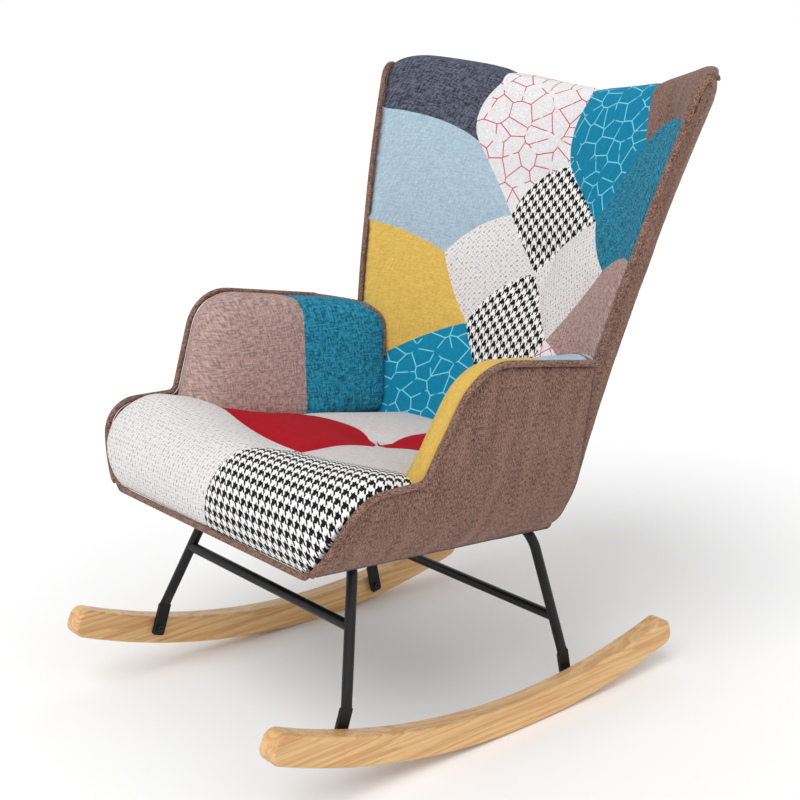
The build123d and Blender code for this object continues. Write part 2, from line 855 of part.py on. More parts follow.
with BuildPart() as seat_cushion:
    sections = []
    for share in (-1.0, -0.96, -0.85, -0.5, 0.0, 0.5, 0.85, 0.96, 1.0):
        drop = cushion_edge_drop * abs(share) ** cushion_crown_power
        sections.append(cushion_face(share * cushion_half_width, drop))
    loft(sections=sections)
    for cut in (side_room(), arm_block(soft_clearance)):
        add(cut, mode=Mode.SUBTRACT)
        add(cut.mirror(Plane.YZ), mode=Mode.SUBTRACT)
    for room in back_rooms:
        add(room, mode=Mode.SUBTRACT)
    with BuildSketch(side_plane(0)):
        with BuildLine():
            tip = Vector(cushion_middle_y, cushion_middle_z - cushion_tuft_depth)
            rim = Vector(cushion_middle_y + cushion_tuft_radius, cushion_middle_z + tuft_rim)
            flank = Vector(
                cushion_middle_y + tuft_flank * cushion_tuft_radius,
                cushion_middle_z - tuft_flank * cushion_tuft_depth,
            )
            ThreePointArc(tip, flank, rim)
            Polyline(rim, (cushion_middle_y, cushion_middle_z + tuft_rim), tip)
        make_face()
    revolve(axis=Axis(at(0, cushion_middle_y, 0), (0, 0, 1)), mode=Mode.SUBTRACT)
seat_cushion.part.label = "seat_cushion"


# Brackets: a strip let into the seat board's top that turns up behind the back board
def board_rear(x, z):
    """Side-view y of the back board's rear face."""
    return back_front(x / back_half_width(z), z) + board_back


slope_step = 1.0
rear_here = board_rear(bracket_half, bracket_back_z)
slope_x = (board_rear(bracket_half + slope_step, bracket_back_z) - rear_here) / slope_step
slope_z = (board_rear(bracket_half, bracket_back_z + slope_step) - rear_here) / slope_step
bracket_normal = Vector(-slope_x, 1, -slope_z).normalized()
bracket_across = Vector(-1, -slope_x, 0).normalized()
bracket_contact = at(bracket_half, rear_here, bracket_back_z)
bracket_middle = bracket_contact + bracket_normal * bracket_gap
bracket_up = bracket_normal.cross(bracket_across)
bracket_level = board_top_z(bracket_middle.Y - contact_y)
bracket_drop = (bracket_middle.Z - bracket_level) / (bracket_up.Z + tan(tilt) * bracket_up.Y)


def bracket_plane(out):
    return Plane(origin=bracket_middle + bracket_normal * out, x_dir=bracket_across, z_dir=bracket_normal)


foot_line = bracket_middle - bracket_up * bracket_drop
bracket_seat_rear = (foot_line.Y - contact_y - seat_datum_y) / cos(tilt) + bracket_thickness
bracket_seat_front = bracket_seat_rear - bracket_seat_length
seat_screws = [(bracket_half, bracket_seat_front + bracket_end + bracket_seat_pitch * i) for i in range(2)]
back_screws = [(0, bracket_back_pitch * (i - 0.5)) for i in range(2)]


def bracket_block(grow):
    """The left bracket, let out by a clearance."""
    upright = bracket_rise + bracket_drop + bracket_thickness
    with BuildPart() as strip:
        with BuildSketch(seat_plane(board_top + grow)):
            with Locations((bracket_half, (bracket_seat_front + bracket_seat_rear) / 2)):
                Rectangle(bracket_width + 2 * grow, bracket_seat_length + 2 * grow)
        extrude(amount=-bracket_thickness - 2 * grow)
        with BuildSketch(bracket_plane(-grow)):
            with Locations((0, (bracket_rise - bracket_drop - bracket_thickness) / 2)):
                Rectangle(bracket_width + 2 * grow, upright + 2 * grow)
        extrude(amount=bracket_thickness + 2 * grow)
    return strip.part


def screw_set(radius, seat_from, seat_to, back_from, back_to):
    """Round pins at the left bracket's four screw places, between heights above its faces."""
    with BuildPart() as pins:
        with BuildSketch(seat_plane(board_top + seat_from)):
            with Locations(*seat_screws):
                Circle(radius)
        extrude(amount=seat_to - seat_from)
        with BuildSketch(bracket_plane(bracket_thickness + back_from)):
            with Locations(*back_screws):
                Circle(radius)
        extrude(amount=back_to - back_from)
    return pins.part


screw_depth = bracket_thickness + bracket_bolt_length
screw_shanks = screw_set(bolt_radius, -screw_depth, 0, -screw_depth, 0)
screw_heads = screw_set(bolt_head_diameter / 2, 0, bolt_head_height, 0, bolt_head_height)
hole_depth = screw_depth + drill_over
screw_holes = screw_set(bolt_radius + thread_clearance, -hole_depth, 0, -hole_depth, 0)
head_room = bolt_head_diameter / 2 + soft_clearance
pocket_depth = bolt_head_height + soft_clearance
head_pockets = screw_set(head_room, 0, pocket_depth, 0, pocket_depth)
with BuildPart() as back_bracket_left:
    add(bracket_block(0))
    add(screw_holes, mode=Mode.SUBTRACT)
back_bracket_left.part.label = "back_bracket_left"
with BuildPart() as back_bracket_right:
    mirror(back_bracket_left.part, about=Plane.YZ)
back_bracket_right.part.label = "back_bracket_right"
with BuildPart() as bracket_screws:
    add(screw_shanks)
    add(screw_heads)
    mirror(about=Plane.YZ)
bracket_screws.part.label = "bracket_screws"
bracket_room = bracket_block(bracket_clearance)


def make_room(owner, *rooms):
    """Cuts the rooms of both brackets or their screws out of a piece."""
    label = owner.part.label
    with owner:
        for room in rooms:
            add(room, mode=Mode.SUBTRACT)
            add(room.mirror(Plane.YZ), mode=Mode.SUBTRACT)
    owner.part.label = label


# Piping
cord_out = piping_radius + piping_gap
cord_corners = offset_corners(side_corners, cord_out)
front_foot, _, rear_top, arm_top, arm_step, roll_top = cord_corners
nose_share = 0.5
nose = tuple(a + (b - a) * nose_share for a, b in zip(roll_top, front_foot))


def on_skin(corner):
    y, z = corner[0], corner[1]
    return at(side_skin_x(y, z) - side_cover_thickness / 2, y, z)


with BuildPart() as side_piping_left:
    add(
        cord(
            [on_skin(c) for c in (rear_top, arm_top, arm_step, roll_top, nose, front_foot)],
            [c[2] for c in (arm_top, arm_step, roll_top)] + [roll_round],
        )
    )
side_piping_left.part.label = "side_piping_left"
with BuildPart() as side_piping_right:
    mirror(side_piping_left.part, about=Plane.YZ)
side_piping_right.part.label = "side_piping_right"
front_cord_half = on_skin(front_foot).X - piping_diameter
with BuildPart() as front_piping:
    seat = (cord_out + front_piping_gap) * sqrt(0.5)
    end = at(-front_cord_half, nose_foot_y - seat, front_bottom_z - seat)
    with BuildSketch(Plane(origin=end, z_dir=(1, 0, 0))):
        Circle(piping_radius)
    extrude(amount=2 * front_cord_half)
front_piping.part.label = "front_piping"


def easy_radii(points):
    """The largest corner radii that neighbouring runs leave room for."""
    radii = []
    for before, here, after in zip(points, points[1:], points[2:]):
        a = here - before
        b = after - here
        turn = radians(a.get_angle(b))
        radii.append(piping_corner_share * min(a.length, b.length) / tan(turn / 2))
    return radii


# Along the wing's edge, round the ear and back to the rear edge
curve_out = piping_radius + curved_piping_gap
wing_top = back_top(1.0) - back_edge_inset + curve_out
wing_points = []
for i in range(wing_piping_runs + 1):
    z = wing_piping_foot_z + (wing_top - wing_piping_foot_z) * i / wing_piping_runs
    y = wing_front(z) + back_edge_inset - curve_out
    wing_points.append(at(back_half_width(z) + back_border_thickness / 2, y, z))
wing_end = at(0, wing_front(wing_top) + back_thickness, 0)
wing_points.append(Vector(wing_points[-1].X, wing_end.Y, wing_top))
wing_radii = easy_radii(wing_points)
with BuildPart() as wing_piping_left:
    add(cord(wing_points, wing_radii))
wing_piping_left.part.label = "wing_piping_left"
with BuildPart() as wing_piping_right:
    mirror(wing_piping_left.part, about=Plane.YZ)
wing_piping_right.part.label = "wing_piping_right"
top_depth = back_thickness + piping_radius + top_piping_gap
top_points = []
for i in range(top_piping_runs + 1):
    share = top_piping_reach * (2 * i / top_piping_runs - 1)
    z = back_top(share) - back_top_round
    top_points.append(at(share * back_half_width(z), back_front(share, z) + top_depth, z))
with BuildPart() as top_piping:
    add(cord(top_points, easy_radii(top_points)))
top_piping.part.label = "top_piping"

make_room(seat_board, bracket_room, screw_holes)
make_room(seat_cushion, head_pockets)
make_room(back_board, screw_holes)
make_room(outer_back_pad, bracket_room, head_pockets, screw_holes)
seat_board.part.label = "seat_board"
dust_cover.part.label = "dust_cover"

pieces = [
    rocker_left, rocker_right, rocker_bolts, rocker_spacers, rocker_inserts,
    front_leg_hoop, rear_leg_hoop, front_stretcher, rear_stretcher,
    seat_board, dust_cover, seat_bolts, seat_tee_nuts, seat_cushion,
    side_shell_left, side_shell_right, side_cover_left, side_cover_right, arm_pad_left, arm_pad_right,
    back_cushion, back_board, outer_back_pad, back_border_left, back_border_right,
    back_bracket_left, back_bracket_right, bracket_screws,
    side_piping_left, side_piping_right, front_piping, wing_piping_left, wing_piping_right, top_piping,
]
for piece in pieces:
    export_step(piece.part, f"parts/{piece.part.label}.step")
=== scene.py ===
"""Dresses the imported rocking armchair: patchwork cloth, piping, wood, painted tube and a plain studio.

Metres, +Z up, the sitter faces -Y. Side-view places (y, z) are measured from the line where the rockers
touch the floor, and contact_y moves them into the frame. Shares run across a piece from -1 to 1.
"""

import json
import math

import bmesh
import bpy
import numpy as np
from bpy.props import FloatProperty, FloatVectorProperty, PointerProperty
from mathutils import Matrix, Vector
from mathutils.geometry import convex_hull_2d, delaunay_2d_cdt


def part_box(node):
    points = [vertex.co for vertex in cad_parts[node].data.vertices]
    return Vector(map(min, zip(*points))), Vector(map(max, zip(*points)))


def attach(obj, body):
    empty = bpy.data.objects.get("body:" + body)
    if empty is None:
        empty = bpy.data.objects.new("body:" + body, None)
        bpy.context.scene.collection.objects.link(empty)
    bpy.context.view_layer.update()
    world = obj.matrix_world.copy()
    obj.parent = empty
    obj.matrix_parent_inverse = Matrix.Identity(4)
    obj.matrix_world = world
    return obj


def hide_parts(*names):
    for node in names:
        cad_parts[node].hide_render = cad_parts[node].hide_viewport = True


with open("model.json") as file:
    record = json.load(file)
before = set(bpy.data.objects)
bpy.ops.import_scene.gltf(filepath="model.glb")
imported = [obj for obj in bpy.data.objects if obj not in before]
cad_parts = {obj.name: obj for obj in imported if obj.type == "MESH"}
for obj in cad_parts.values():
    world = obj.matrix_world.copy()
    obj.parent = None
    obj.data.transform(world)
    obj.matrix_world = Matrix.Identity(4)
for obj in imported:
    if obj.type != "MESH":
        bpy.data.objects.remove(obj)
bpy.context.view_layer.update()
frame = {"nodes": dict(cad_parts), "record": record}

bl_info = {
    "name": "Patchwork rocking armchair",
    "version": (1, 0, 0),
    "blender": (4, 5, 0),
    "location": "View3D > Sidebar > Armchair",
    "description": "Dresses the packed rocking armchair with cloth, piping, wood and metal",
    "category": "Object",
}

CONTACT_Y = frame["record"]["mounts"][0]["pos_m"][1]
CLOTH_MAP = "Cloth"
# Name of the point attribute that holds the painted shade along the cloths' turned-in edges.
EDGE_SHADE_MAP = "tuck"
LEFT, RIGHT = 1, -1
SIDE_NAMES = {LEFT: "left", RIGHT: "right"}
TOUCH = 1e-5
MERGE = 1e-6
TINY = 1e-9
LEAST = 1e-12
SWELL_FRAMES = 20
ROOM_LIGHT = 0.66


# Properties

def length(name, description, default):
    """A size in metres."""
    return FloatProperty(
        name=name, description=description, default=default, unit="LENGTH", precision=4)


def ratio(name, description, default):
    """A plain number."""
    return FloatProperty(name=name, description=description, default=default, precision=4)


def angle(name, description, degrees):
    """An angle, written in degrees."""
    return FloatProperty(
        name=name, description=description, default=math.radians(degrees), subtype="ANGLE")


def tint(name, description, red, green, blue):
    """A colour, written as it looks on a screen, from 0 to 255."""
    shares = [part / 255.0 for part in (red, green, blue)]
    linear = [part / 12.92 if part <= 0.04045 else ((part + 0.055) / 1.055) ** 2.4 for part in shares]
    return FloatVectorProperty(
        name=name, description=description, default=linear, subtype="COLOR", min=0, max=1)


class ArmchairSizes(bpy.types.PropertyGroup):
    """Sizes of the upholstery."""

    contact_y: length("Contact line", "Where the rockers touch the floor", CONTACT_Y)
    spacing: length("Cloth spacing", "Distance between the points of a cloth", 0.0095)
    piping_radius: length("Piping radius", "Radius of the sewn piping", 0.0048)
    piping_groove: length("Piping groove", "Depth of the groove beside a piping", 0.0048)
    piping_sink: length("Piping sink", "How far the side piping lies under the side's skin", 0.0025)
    pad_sink: length("Pad sink", "How far the pads' outer edges lie under the side's skin", 0.0090)
    thin_piping_radius: length("Top piping radius", "Radius of the piping behind the back's top", 0.003)
    back_low: length("Back low edge", "Height of the back cloth's lower edge", 0.335)
    back_foot_z: length("Back foot", "Height that the back's lines start from", 0.309)
    back_middle_foot: length("Middle foot", "Place of the back's middle at its foot", 0.083)
    back_middle_lean: ratio("Middle lean", "Lean of the back's middle", 0.60)
    back_middle_bow: ratio("Middle bow", "Bow of the back's middle", -0.16)
    back_wing_foot: length("Wing foot", "Place of the wing's edge at its foot", 0.062)
    back_wing_lean: ratio("Wing lean", "Lean of the wing's edge", 0.13)
    back_wing_bow: ratio("Wing bow", "Bow of the wing's edge", 0.21)
    back_wing_power: ratio("Wing power", "How late the back turns forward into its wings", 2.3)
    back_half_foot: length("Foot half width", "Half width of the back at its foot", 0.233)
    back_flare: ratio("Back flare", "How much the back widens upwards", 0.182)
    back_dip: length("Top dip", "Height of the top at the middle", 0.917)
    back_ear_rise: length("Ear rise", "How far the ears rise over the dip", 0.0485)
    back_ear_fall: length("Ear fall", "How far the ears fall at their outer edges", 0.012)
    back_ear_place: ratio("Ear place", "Share of the width at which the ears are full", 0.9)
    back_thickness: length("Back thickness", "From the back's face to its rear", 0.054)
    back_top_round: length("Top round", "Round of the top's edges at the middle", 0.020)
    back_ear_round: length("Ear round", "Round of the top's front edge at the ears", 0.042)
    back_rear_round: length("Rear round", "Round of the top's rear edge at the ears", 0.008)
    back_edge_inset: length("Wing edge round", "How far the wing's edge curls back", 0.012)
    edge_taper: ratio("Edge taper", "How much thinner the back's sides get towards the ears", 0.48)
    edge_taper_low: length("Edge taper foot", "Height where the sides start to get thinner", 0.69)
    edge_taper_tall: length("Edge taper height", "How far the sides take to get thin", 0.27)
    edge_power: ratio("Edge power", "How close to the sides the back gets thinner", 80.0)
    tip_taper: ratio("Tip taper", "How much thinner the ears' tips are", 0.45)
    tip_taper_low: length("Tip taper foot", "Height where the ears' tips start", 0.925)
    tip_taper_tall: length("Tip taper height", "Height of the ears' tips", 0.040)
    border_foot_deep: length("Border foot depth", "How far the border's foot is cut away", 0.034)
    border_foot_tall: length("Border foot height", "Height of the border's rounded foot", 0.080)
    back_tuft_z: length("Back tuft", "Height of the back's tuft", 0.627)
    tuft_radius: length("Tuft radius", "Reach of a tuft's hollow", 0.046)
    tuft_depth: length("Tuft depth", "Depth of a tuft's hollow", 0.019)
    side_knee_x: length("Side knee", "Half width where the side starts to flare", 0.311)
    side_knee_z: length("Side knee height", "Height where the side starts to flare", 0.437)
    side_flare: angle("Side flare", "Flare of the side above its knee", 11.7)
    side_curl: length("Side curl", "Radius of the side's curl under the seat", 0.216)
    side_curl_end: angle("Side curl end", "Angle where the side's curl ends", 47.3)
    side_toe_in: angle("Side toe-in", "How much the sides close towards the rear", 2.5)
    seat_tilt: angle("Seat tilt", "Backward tilt of the seat board", 5.0)
    seat_datum_y: length("Seat datum", "Place of the front cross tube", -0.262)
    arm_inner_x: length("Arm inner face", "Half width between the arms at the seat's front", 0.243)
    arm_inner_y: length("Arm inner place", "Place where that half width is taken", -0.214)
    arm_inner_z: length("Arm inner height", "Height where that half width is taken", 0.428)
    arm_toe_in: ratio("Arm toe-in", "How much the arms close towards the rear", 0.164)
    arm_flare: ratio("Arm flare", "How much the arms open upwards", 0.30)
    arm_round: length("Arm round", "Round of the arm's edge", 0.030)
    arm_band: length("Arm band", "Width of cloth kept for the arm's edge", 0.080)
    tuft_y: length("Seat tuft", "Place of the seat's tuft", -0.075)
    roll_sag: length("Roll sag", "How far the seat's roll sags in its middle", 0.012)


class ArmchairColours(bpy.types.PropertyGroup):
    """Colours of the cloths, the wood and the metal."""

    mustard: tint("Mustard", "Mustard cloth", 209, 174, 88)
    teal: tint("Teal", "Teal cloth", 36, 118, 145)
    light_blue: tint("Light blue", "Light blue cloth", 162, 183, 197)
    slate: tint("Slate", "Slate cloth", 76, 79, 92)
    taupe: tint("Taupe", "Taupe cloth", 164, 138, 132)
    red: tint("Red", "Red cloth", 164, 6, 26)
    cream: tint("Cream", "Cream cloth", 198, 193, 192)
    brown: tint("Brown", "Brown chenille", 124, 95, 84)
    tweed: tint("Tweed", "Ground of the tweed", 221, 218, 217)
    tweed_tick: tint("Tweed tick", "Dark threads of the tweed", 152, 147, 147)
    check_dark: tint("Check dark", "Dark threads of the dogtooth check", 18, 18, 22)
    check_light: tint("Check light", "Light threads of the dogtooth check", 238, 237, 234)
    print_white: tint("White print", "Ground of the white line print", 219, 217, 218)
    print_red: tint("Red line", "Lines of the white print", 192, 62, 88)
    print_teal: tint("Teal print", "Ground of the teal line print", 14, 124, 158)
    print_pale: tint("Pale line", "Lines of the teal print", 120, 202, 224)
    wood_light: tint("Light wood", "Early wood of the rockers", 227, 189, 134)
    wood_dark: tint("Dark wood", "Late wood of the rockers", 182, 124, 66)
    plywood: tint("Plywood", "Hidden boards", 196, 160, 118)
    paint: tint("Black paint", "Powder coat of the tubes", 17, 17, 19)
    oxide: tint("Black oxide", "Finish of the bolts", 30, 30, 31)
    zinc: tint("Zinc", "Zinc plate", 196, 197, 200)
    dust_cloth: tint("Dust cloth", "Cloth under the seat", 38, 38, 40)
    floor: tint("Floor", "Studio floor", 250, 250, 250)


def sizes():
    """The sizes that the scene holds."""
    return bpy.context.scene.armchair_sizes


def colours():
    """The colours that the scene holds."""
    return bpy.context.scene.armchair_colours


# Shader expressions

class Wire:
    """A socket in a node tree. Arithmetic on it adds Math nodes, and add() makes any other node."""

    def __init__(self, tree, socket=None):
        self.tree = tree
        self.socket = socket

    def add(self, kind, settings=(), inputs=(), output=0):
        """Makes a node, sets its settings, then its sockets, and returns one of its outputs."""
        node = self.tree.nodes.new(kind)
        for key, value in dict(settings).items():
            setattr(node, key, value)
        for key, value in dict(inputs).items():
            if isinstance(value, Wire):
                self.tree.links.new(value.socket, node.inputs[key])
            else:
                node.inputs[key].default_value = value
        return Wire(self.tree, node.outputs[output])

    def math(self, operation, *values):
        """A Math node on up to three values."""
        return self.add("ShaderNodeMath", {"operation": operation}, dict(enumerate(values)))

    def __add__(self, other):
        return self.math("ADD", self, other)

    def __radd__(self, other):
        return self.math("ADD", other, self)

    def __sub__(self, other):
        return self.math("SUBTRACT", self, other)

    def __rsub__(self, other):
        return self.math("SUBTRACT", other, self)

    def __mul__(self, other):
        return self.math("MULTIPLY", self, other)

    def __rmul__(self, other):
        return self.math("MULTIPLY", other, self)

    def __truediv__(self, other):
        return self.math("DIVIDE", self, other)

    def __lt__(self, other):
        return self.math("LESS_THAN", self, other)

    def __gt__(self, other):
        return self.math("GREATER_THAN", self, other)

    def fraction(self):
        """The part after the decimal point."""
        return self.math("FRACT", self)

    def floor(self):
        """The whole part."""
        return self.math("FLOOR", self)

    def magnitude(self):
        """The value without its sign."""
        return self.math("ABSOLUTE", self)

    def smooth(self, low, high):
        """A soft step from 0 at low to 1 at high."""
        inputs = {"Value": self, "From Min": low, "From Max": high}
        return self.add("ShaderNodeMapRange", {"interpolation_type": "SMOOTHSTEP"}, inputs)

    def mix(self, first, second):
        """A colour between two others, by this factor."""
        inputs = {0: self, 6: first, 7: second}
        return self.add("ShaderNodeMix", {"data_type": "RGBA"}, inputs, 2)

    def part(self, axis):
        """One coordinate of this vector."""
        return self.add("ShaderNodeSeparateXYZ", (), {"Vector": self}, axis)

    def stretch(self, x, y, z=1.0):
        """This vector, scaled along its axes."""
        return self.add("ShaderNodeVectorMath", {"operation": "MULTIPLY"}, {0: self, 1: (x, y, z)})

    def noise(self, scale, detail=2.0):
        """Even noise over this vector, about 0.5."""
        inputs = {"Vector": self, "Scale": scale, "Detail": detail}
        return self.add("ShaderNodeTexNoise", {"noise_dimensions": "3D"}, inputs, "Fac")


class Finish:
    """A material under construction, with its shader and its coordinates."""

    def __init__(self, name):
        self.material = bpy.data.materials.new(name)
        self.material.use_nodes = True
        self.tree = self.material.node_tree
        self.shader = self.tree.nodes["Principled BSDF"]
        self.wire = Wire(self.tree)

    def cloth(self):
        """Cloth coordinates, in metres along the weave."""
        return self.wire.add("ShaderNodeUVMap", {"uv_map": CLOTH_MAP}, (), "UV")

    def place(self):
        """Coordinates in the chair's frame, in metres."""
        return self.wire.add("ShaderNodeTexCoord", (), (), "Object")

    def fix(self, **values):
        """Sets sockets that are the same all over."""
        for name, value in values.items():
            self.shader.inputs[name.replace("_", " ")].default_value = value

    def feed(self, name, wire):
        """Links a socket that changes over the surface."""
        self.tree.links.new(wire.socket, self.shader.inputs[name])

    def dye(self, wire):
        """Links a cloth's colour, darkened with painted shade where the cloth's edge turns into its
        groove.
        """
        # Painted shade: near the cloth's turned-in edges the colour is darkened towards black, by up to 60
        # %.
        tuck = self.wire.add("ShaderNodeAttribute", {"attribute_name": EDGE_SHADE_MAP}, (), "Fac")
        self.feed("Base Color", (tuck.smooth(0.35, 0.95) * 0.6).mix(wire, paint((0.0, 0.0, 0.0))))

    def bump(self, height, distance, strength=0.6):
        """Bumps the surface by a height from 0 to 1."""
        inputs = {"Height": height, "Distance": distance, "Strength": strength}
        self.feed("Normal", self.wire.add("ShaderNodeBump", (), inputs, "Normal"))


def paint(colour, factor=1.0):
    """A colour socket's value, lighter or darker by a factor."""
    return tuple(min(part * factor, 1.0) for part in colour) + (1.0,)


def woven(grain, thread, contrast):
    """Height of a plain weave with uneven threads, about 0.5, and its colour factor."""
    across = grain.stretch(1.0 / thread, 0.22 / thread).noise(1.0, 1.0)
    along = grain.stretch(0.22 / thread, 1.0 / thread).noise(1.0, 1.0)
    specks = grain.noise(0.8 / thread, 1.0)
    blotch = grain.noise(60.0)
    threads = across * 0.36 + along * 0.36 + specks * 0.28
    shade = (threads - 0.5) * contrast + (blotch - 0.5) * (0.12 * contrast) + 0.5
    return threads, shade


def plain_cloth(name, colour, contrast=2.2, deep=0.62, bright=1.25):
    """A plain cloth of uneven linen threads."""
    finish = Finish(name)
    threads, shade = woven(finish.cloth(), 0.0026, contrast)
    finish.dye(shade.smooth(0.0, 1.0).mix(paint(colour, deep), paint(colour, bright)))
    finish.fix(Roughness=0.92, Sheen_Weight=0.02, Sheen_Roughness=0.5, Specular_IOR_Level=0.12)
    finish.bump(threads, 0.0012)
    return finish.material


def chenille(name, colour, on_cloth=True):
    """A brown chenille whose pile lies in short streaks."""
    finish = Finish(name)
    grain = finish.cloth() if on_cloth else finish.place()
    streaks = grain.stretch(560.0, 190.0, 560.0).noise(1.0, 2.0)
    specks = grain.noise(760.0, 1.0)
    bands = grain.stretch(55.0, 14.0, 55.0).noise(1.0, 2.0)
    shade = (streaks - 0.5) * 2.4 + (specks - 0.5) * 2.0 + (bands - 0.5) * 0.7 + 0.5
    finish.dye(shade.smooth(0.0, 1.0).mix(paint(colour, 0.38), paint(colour, 1.62)))
    finish.fix(Roughness=0.95, Sheen_Weight=0.11, Sheen_Roughness=0.4, Specular_IOR_Level=0.12)
    finish.bump(streaks * 0.6 + specks * 0.4, 0.0014)
    return finish.material


def dogtooth(name, dark, light, repeat):
    """A dogtooth check of two yarns, four threads dark and four light both ways."""
    finish = Finish(name)
    grain = finish.cloth()
    wobble = (grain.noise(330.0) - 0.5) * (0.07 * repeat)
    u = grain.part("X") + wobble
    v = grain.part("Y") + wobble
    warp = (u / repeat).fraction() < 0.5
    weft = (v / repeat).fraction() < 0.5
    over = ((u + v) / (0.5 * repeat)).fraction() < 0.5
    mask = over * warp + (1.0 - over) * weft
    threads, shade = woven(grain, 0.0014, 1.6)
    pale = shade.smooth(0.0, 1.0).mix(paint(light, 0.84), paint(light, 1.06))
    deep = shade.smooth(0.0, 1.0).mix(paint(dark, 0.7), paint(dark, 1.8))
    finish.dye(mask.mix(pale, deep))
    finish.fix(Roughness=0.92, Sheen_Weight=0.02, Specular_IOR_Level=0.12)
    finish.bump(threads * 0.7 + mask * 0.3, 0.0010)
    return finish.material


def tweed(name, ground, tick, cell):
    """A pale basket tweed whose thick threads float in turns across and along."""
    finish = Finish(name)
    grain = finish.cloth()
    wobble = (grain.noise(160.0) - 0.5) * 0.35
    u = grain.part("X") / cell + wobble
    v = grain.part("Y") / cell - wobble
    upright = ((u.floor() + v.floor()) * 0.5).fraction() > 0.25
    off_u = (u.fraction() - 0.5).magnitude()
    off_v = (v.fraction() - 0.5).magnitude()
    aside = upright * off_u + (1.0 - upright) * off_v
    ends = upright * off_v + (1.0 - upright) * off_u
    gap = (1.0 - aside.smooth(0.06, 0.26)) * (1.0 - ends.smooth(0.32, 0.5)) * (0.55 + upright * 0.45)
    flecks = grain.noise(130.0).smooth(0.34, 0.60)
    threads, shade = woven(grain, 0.0018, 1.5)
    pale = shade.smooth(0.0, 1.0).mix(paint(ground, 0.88), paint(ground, 1.06))
    finish.dye((gap * flecks).mix(pale, paint(tick)))
    finish.fix(Roughness=0.94, Sheen_Weight=0.02, Specular_IOR_Level=0.12)
    finish.bump((1.0 - gap) * 0.7 + threads * 0.3, 0.0016)
    return finish.material


def line_print(name, ground, line, cell, width):
    """A plain cloth printed with a net of straight lines."""
    finish = Finish(name)
    grain = finish.cloth()
    net = {"Vector": grain, "Scale": 1.0 / cell, "Randomness": 1.0}
    settings = {"feature": "DISTANCE_TO_EDGE", "voronoi_dimensions": "2D"}
    edge = finish.wire.add("ShaderNodeTexVoronoi", settings, net, "Distance")
    gaps = grain.noise(45.0, 0.0).smooth(0.34, 0.40)
    mask = (1.0 - edge.smooth(0.5 * width / cell, 1.1 * width / cell)) * gaps
    threads, shade = woven(grain, 0.0022, 1.8)
    plain = shade.smooth(0.0, 1.0).mix(paint(ground, 0.80), paint(ground, 1.18))
    finish.dye(mask.mix(plain, paint(line)))
    finish.fix(Roughness=0.9, Sheen_Weight=0.02, Specular_IOR_Level=0.15)
    finish.bump(threads, 0.0007)
    return finish.material


def rocker_wood(name, light, dark):
    """Pale lacquered hardwood with its grain along the rocker."""
    finish = Finish(name)
    place = finish.place()
    bands = place.stretch(26.0, 1.4, 34.0).noise(1.0, 2.0)
    fibres = place.stretch(520.0, 9.0, 520.0).noise(1.0, 3.0)
    pores = place.stretch(1300.0, 45.0, 1300.0).noise(1.0, 1.0).smooth(0.60, 0.74)
    rings = (bands * 7.0 + fibres * 0.35).fraction()
    edge = rings.smooth(0.0, 0.9) * (1.0 - rings.smooth(0.9, 1.0))
    grain = edge * 0.30 + (fibres - 0.5) * 0.75 + (bands - 0.5) * 0.5 + 0.30
    base = grain.smooth(0.0, 1.0).mix(paint(light), paint(dark))
    finish.feed("Base Color", (pores * 0.3).mix(base, paint(dark, 0.62)))
    finish.feed("Roughness", 0.36 + fibres * 0.16)
    finish.fix(Coat_Weight=0.18, Coat_Roughness=0.22, Specular_IOR_Level=0.4)
    finish.bump(fibres * 0.6 - pores * 0.4, 0.0003, 0.35)
    return finish.material


def board_wood(name, colour):
    """Bare plywood with a calm rotary-cut face."""
    finish = Finish(name)
    place = finish.place()
    waves = place.stretch(5.0, 26.0, 150.0).noise(1.0, 4.0)
    fibres = place.stretch(70.0, 1100.0, 900.0).noise(1.0, 2.0)
    shade = waves * 0.7 + fibres * 0.3
    finish.feed("Base Color", shade.smooth(0.25, 0.75).mix(paint(colour, 0.72), paint(colour, 1.15)))
    finish.feed("Roughness", 0.6 + fibres * 0.2)
    finish.bump(fibres, 0.0003, 0.4)
    return finish.material


def powder_coat(name, colour, roughness, grain_size):
    """A satin coat with a fine orange peel and a little handling wear."""
    finish = Finish(name)
    place = finish.place()
    peel = place.noise(1.0 / grain_size, 2.0)
    wear = place.noise(24.0, 3.0)
    finish.feed("Base Color", wear.smooth(0.35, 0.75).mix(paint(colour, 0.85), paint(colour, 1.5)))
    finish.feed("Roughness", roughness + (wear - 0.5) * 0.2)
    finish.fix(Specular_IOR_Level=0.25)
    finish.bump(peel, 0.0002, 0.5)
    return finish.material


def plated(name, colour):
    """Zinc plate with soft turning marks."""
    finish = Finish(name)
    place = finish.place()
    marks = place.stretch(900.0, 900.0, 900.0).noise(1.0, 2.0)
    finish.feed("Base Color", marks.mix(paint(colour, 0.8), paint(colour)))
    finish.feed("Roughness", 0.28 + marks * 0.2)
    finish.fix(Metallic=1.0)
    finish.bump(marks, 0.0001, 0.3)
    return finish.material


def felt(name, colour):
    """Thin pressed cloth with a dotted bond."""
    finish = Finish(name)
    grain = finish.cloth()
    dots = [((grain.part(axis) * 400.0).fraction() - 0.5).magnitude() for axis in ("X", "Y")]
    bond = (dots[0] + dots[1]).smooth(0.2, 0.5)
    height = bond * 0.5 + grain.noise(900.0, 3.0) * 0.5
    finish.feed("Base Color", height.mix(paint(colour, 0.5), paint(colour, 1.4)))
    finish.fix(Roughness=0.95, Specular_IOR_Level=0.2)
    finish.bump(height, 0.0004)
    return finish.material


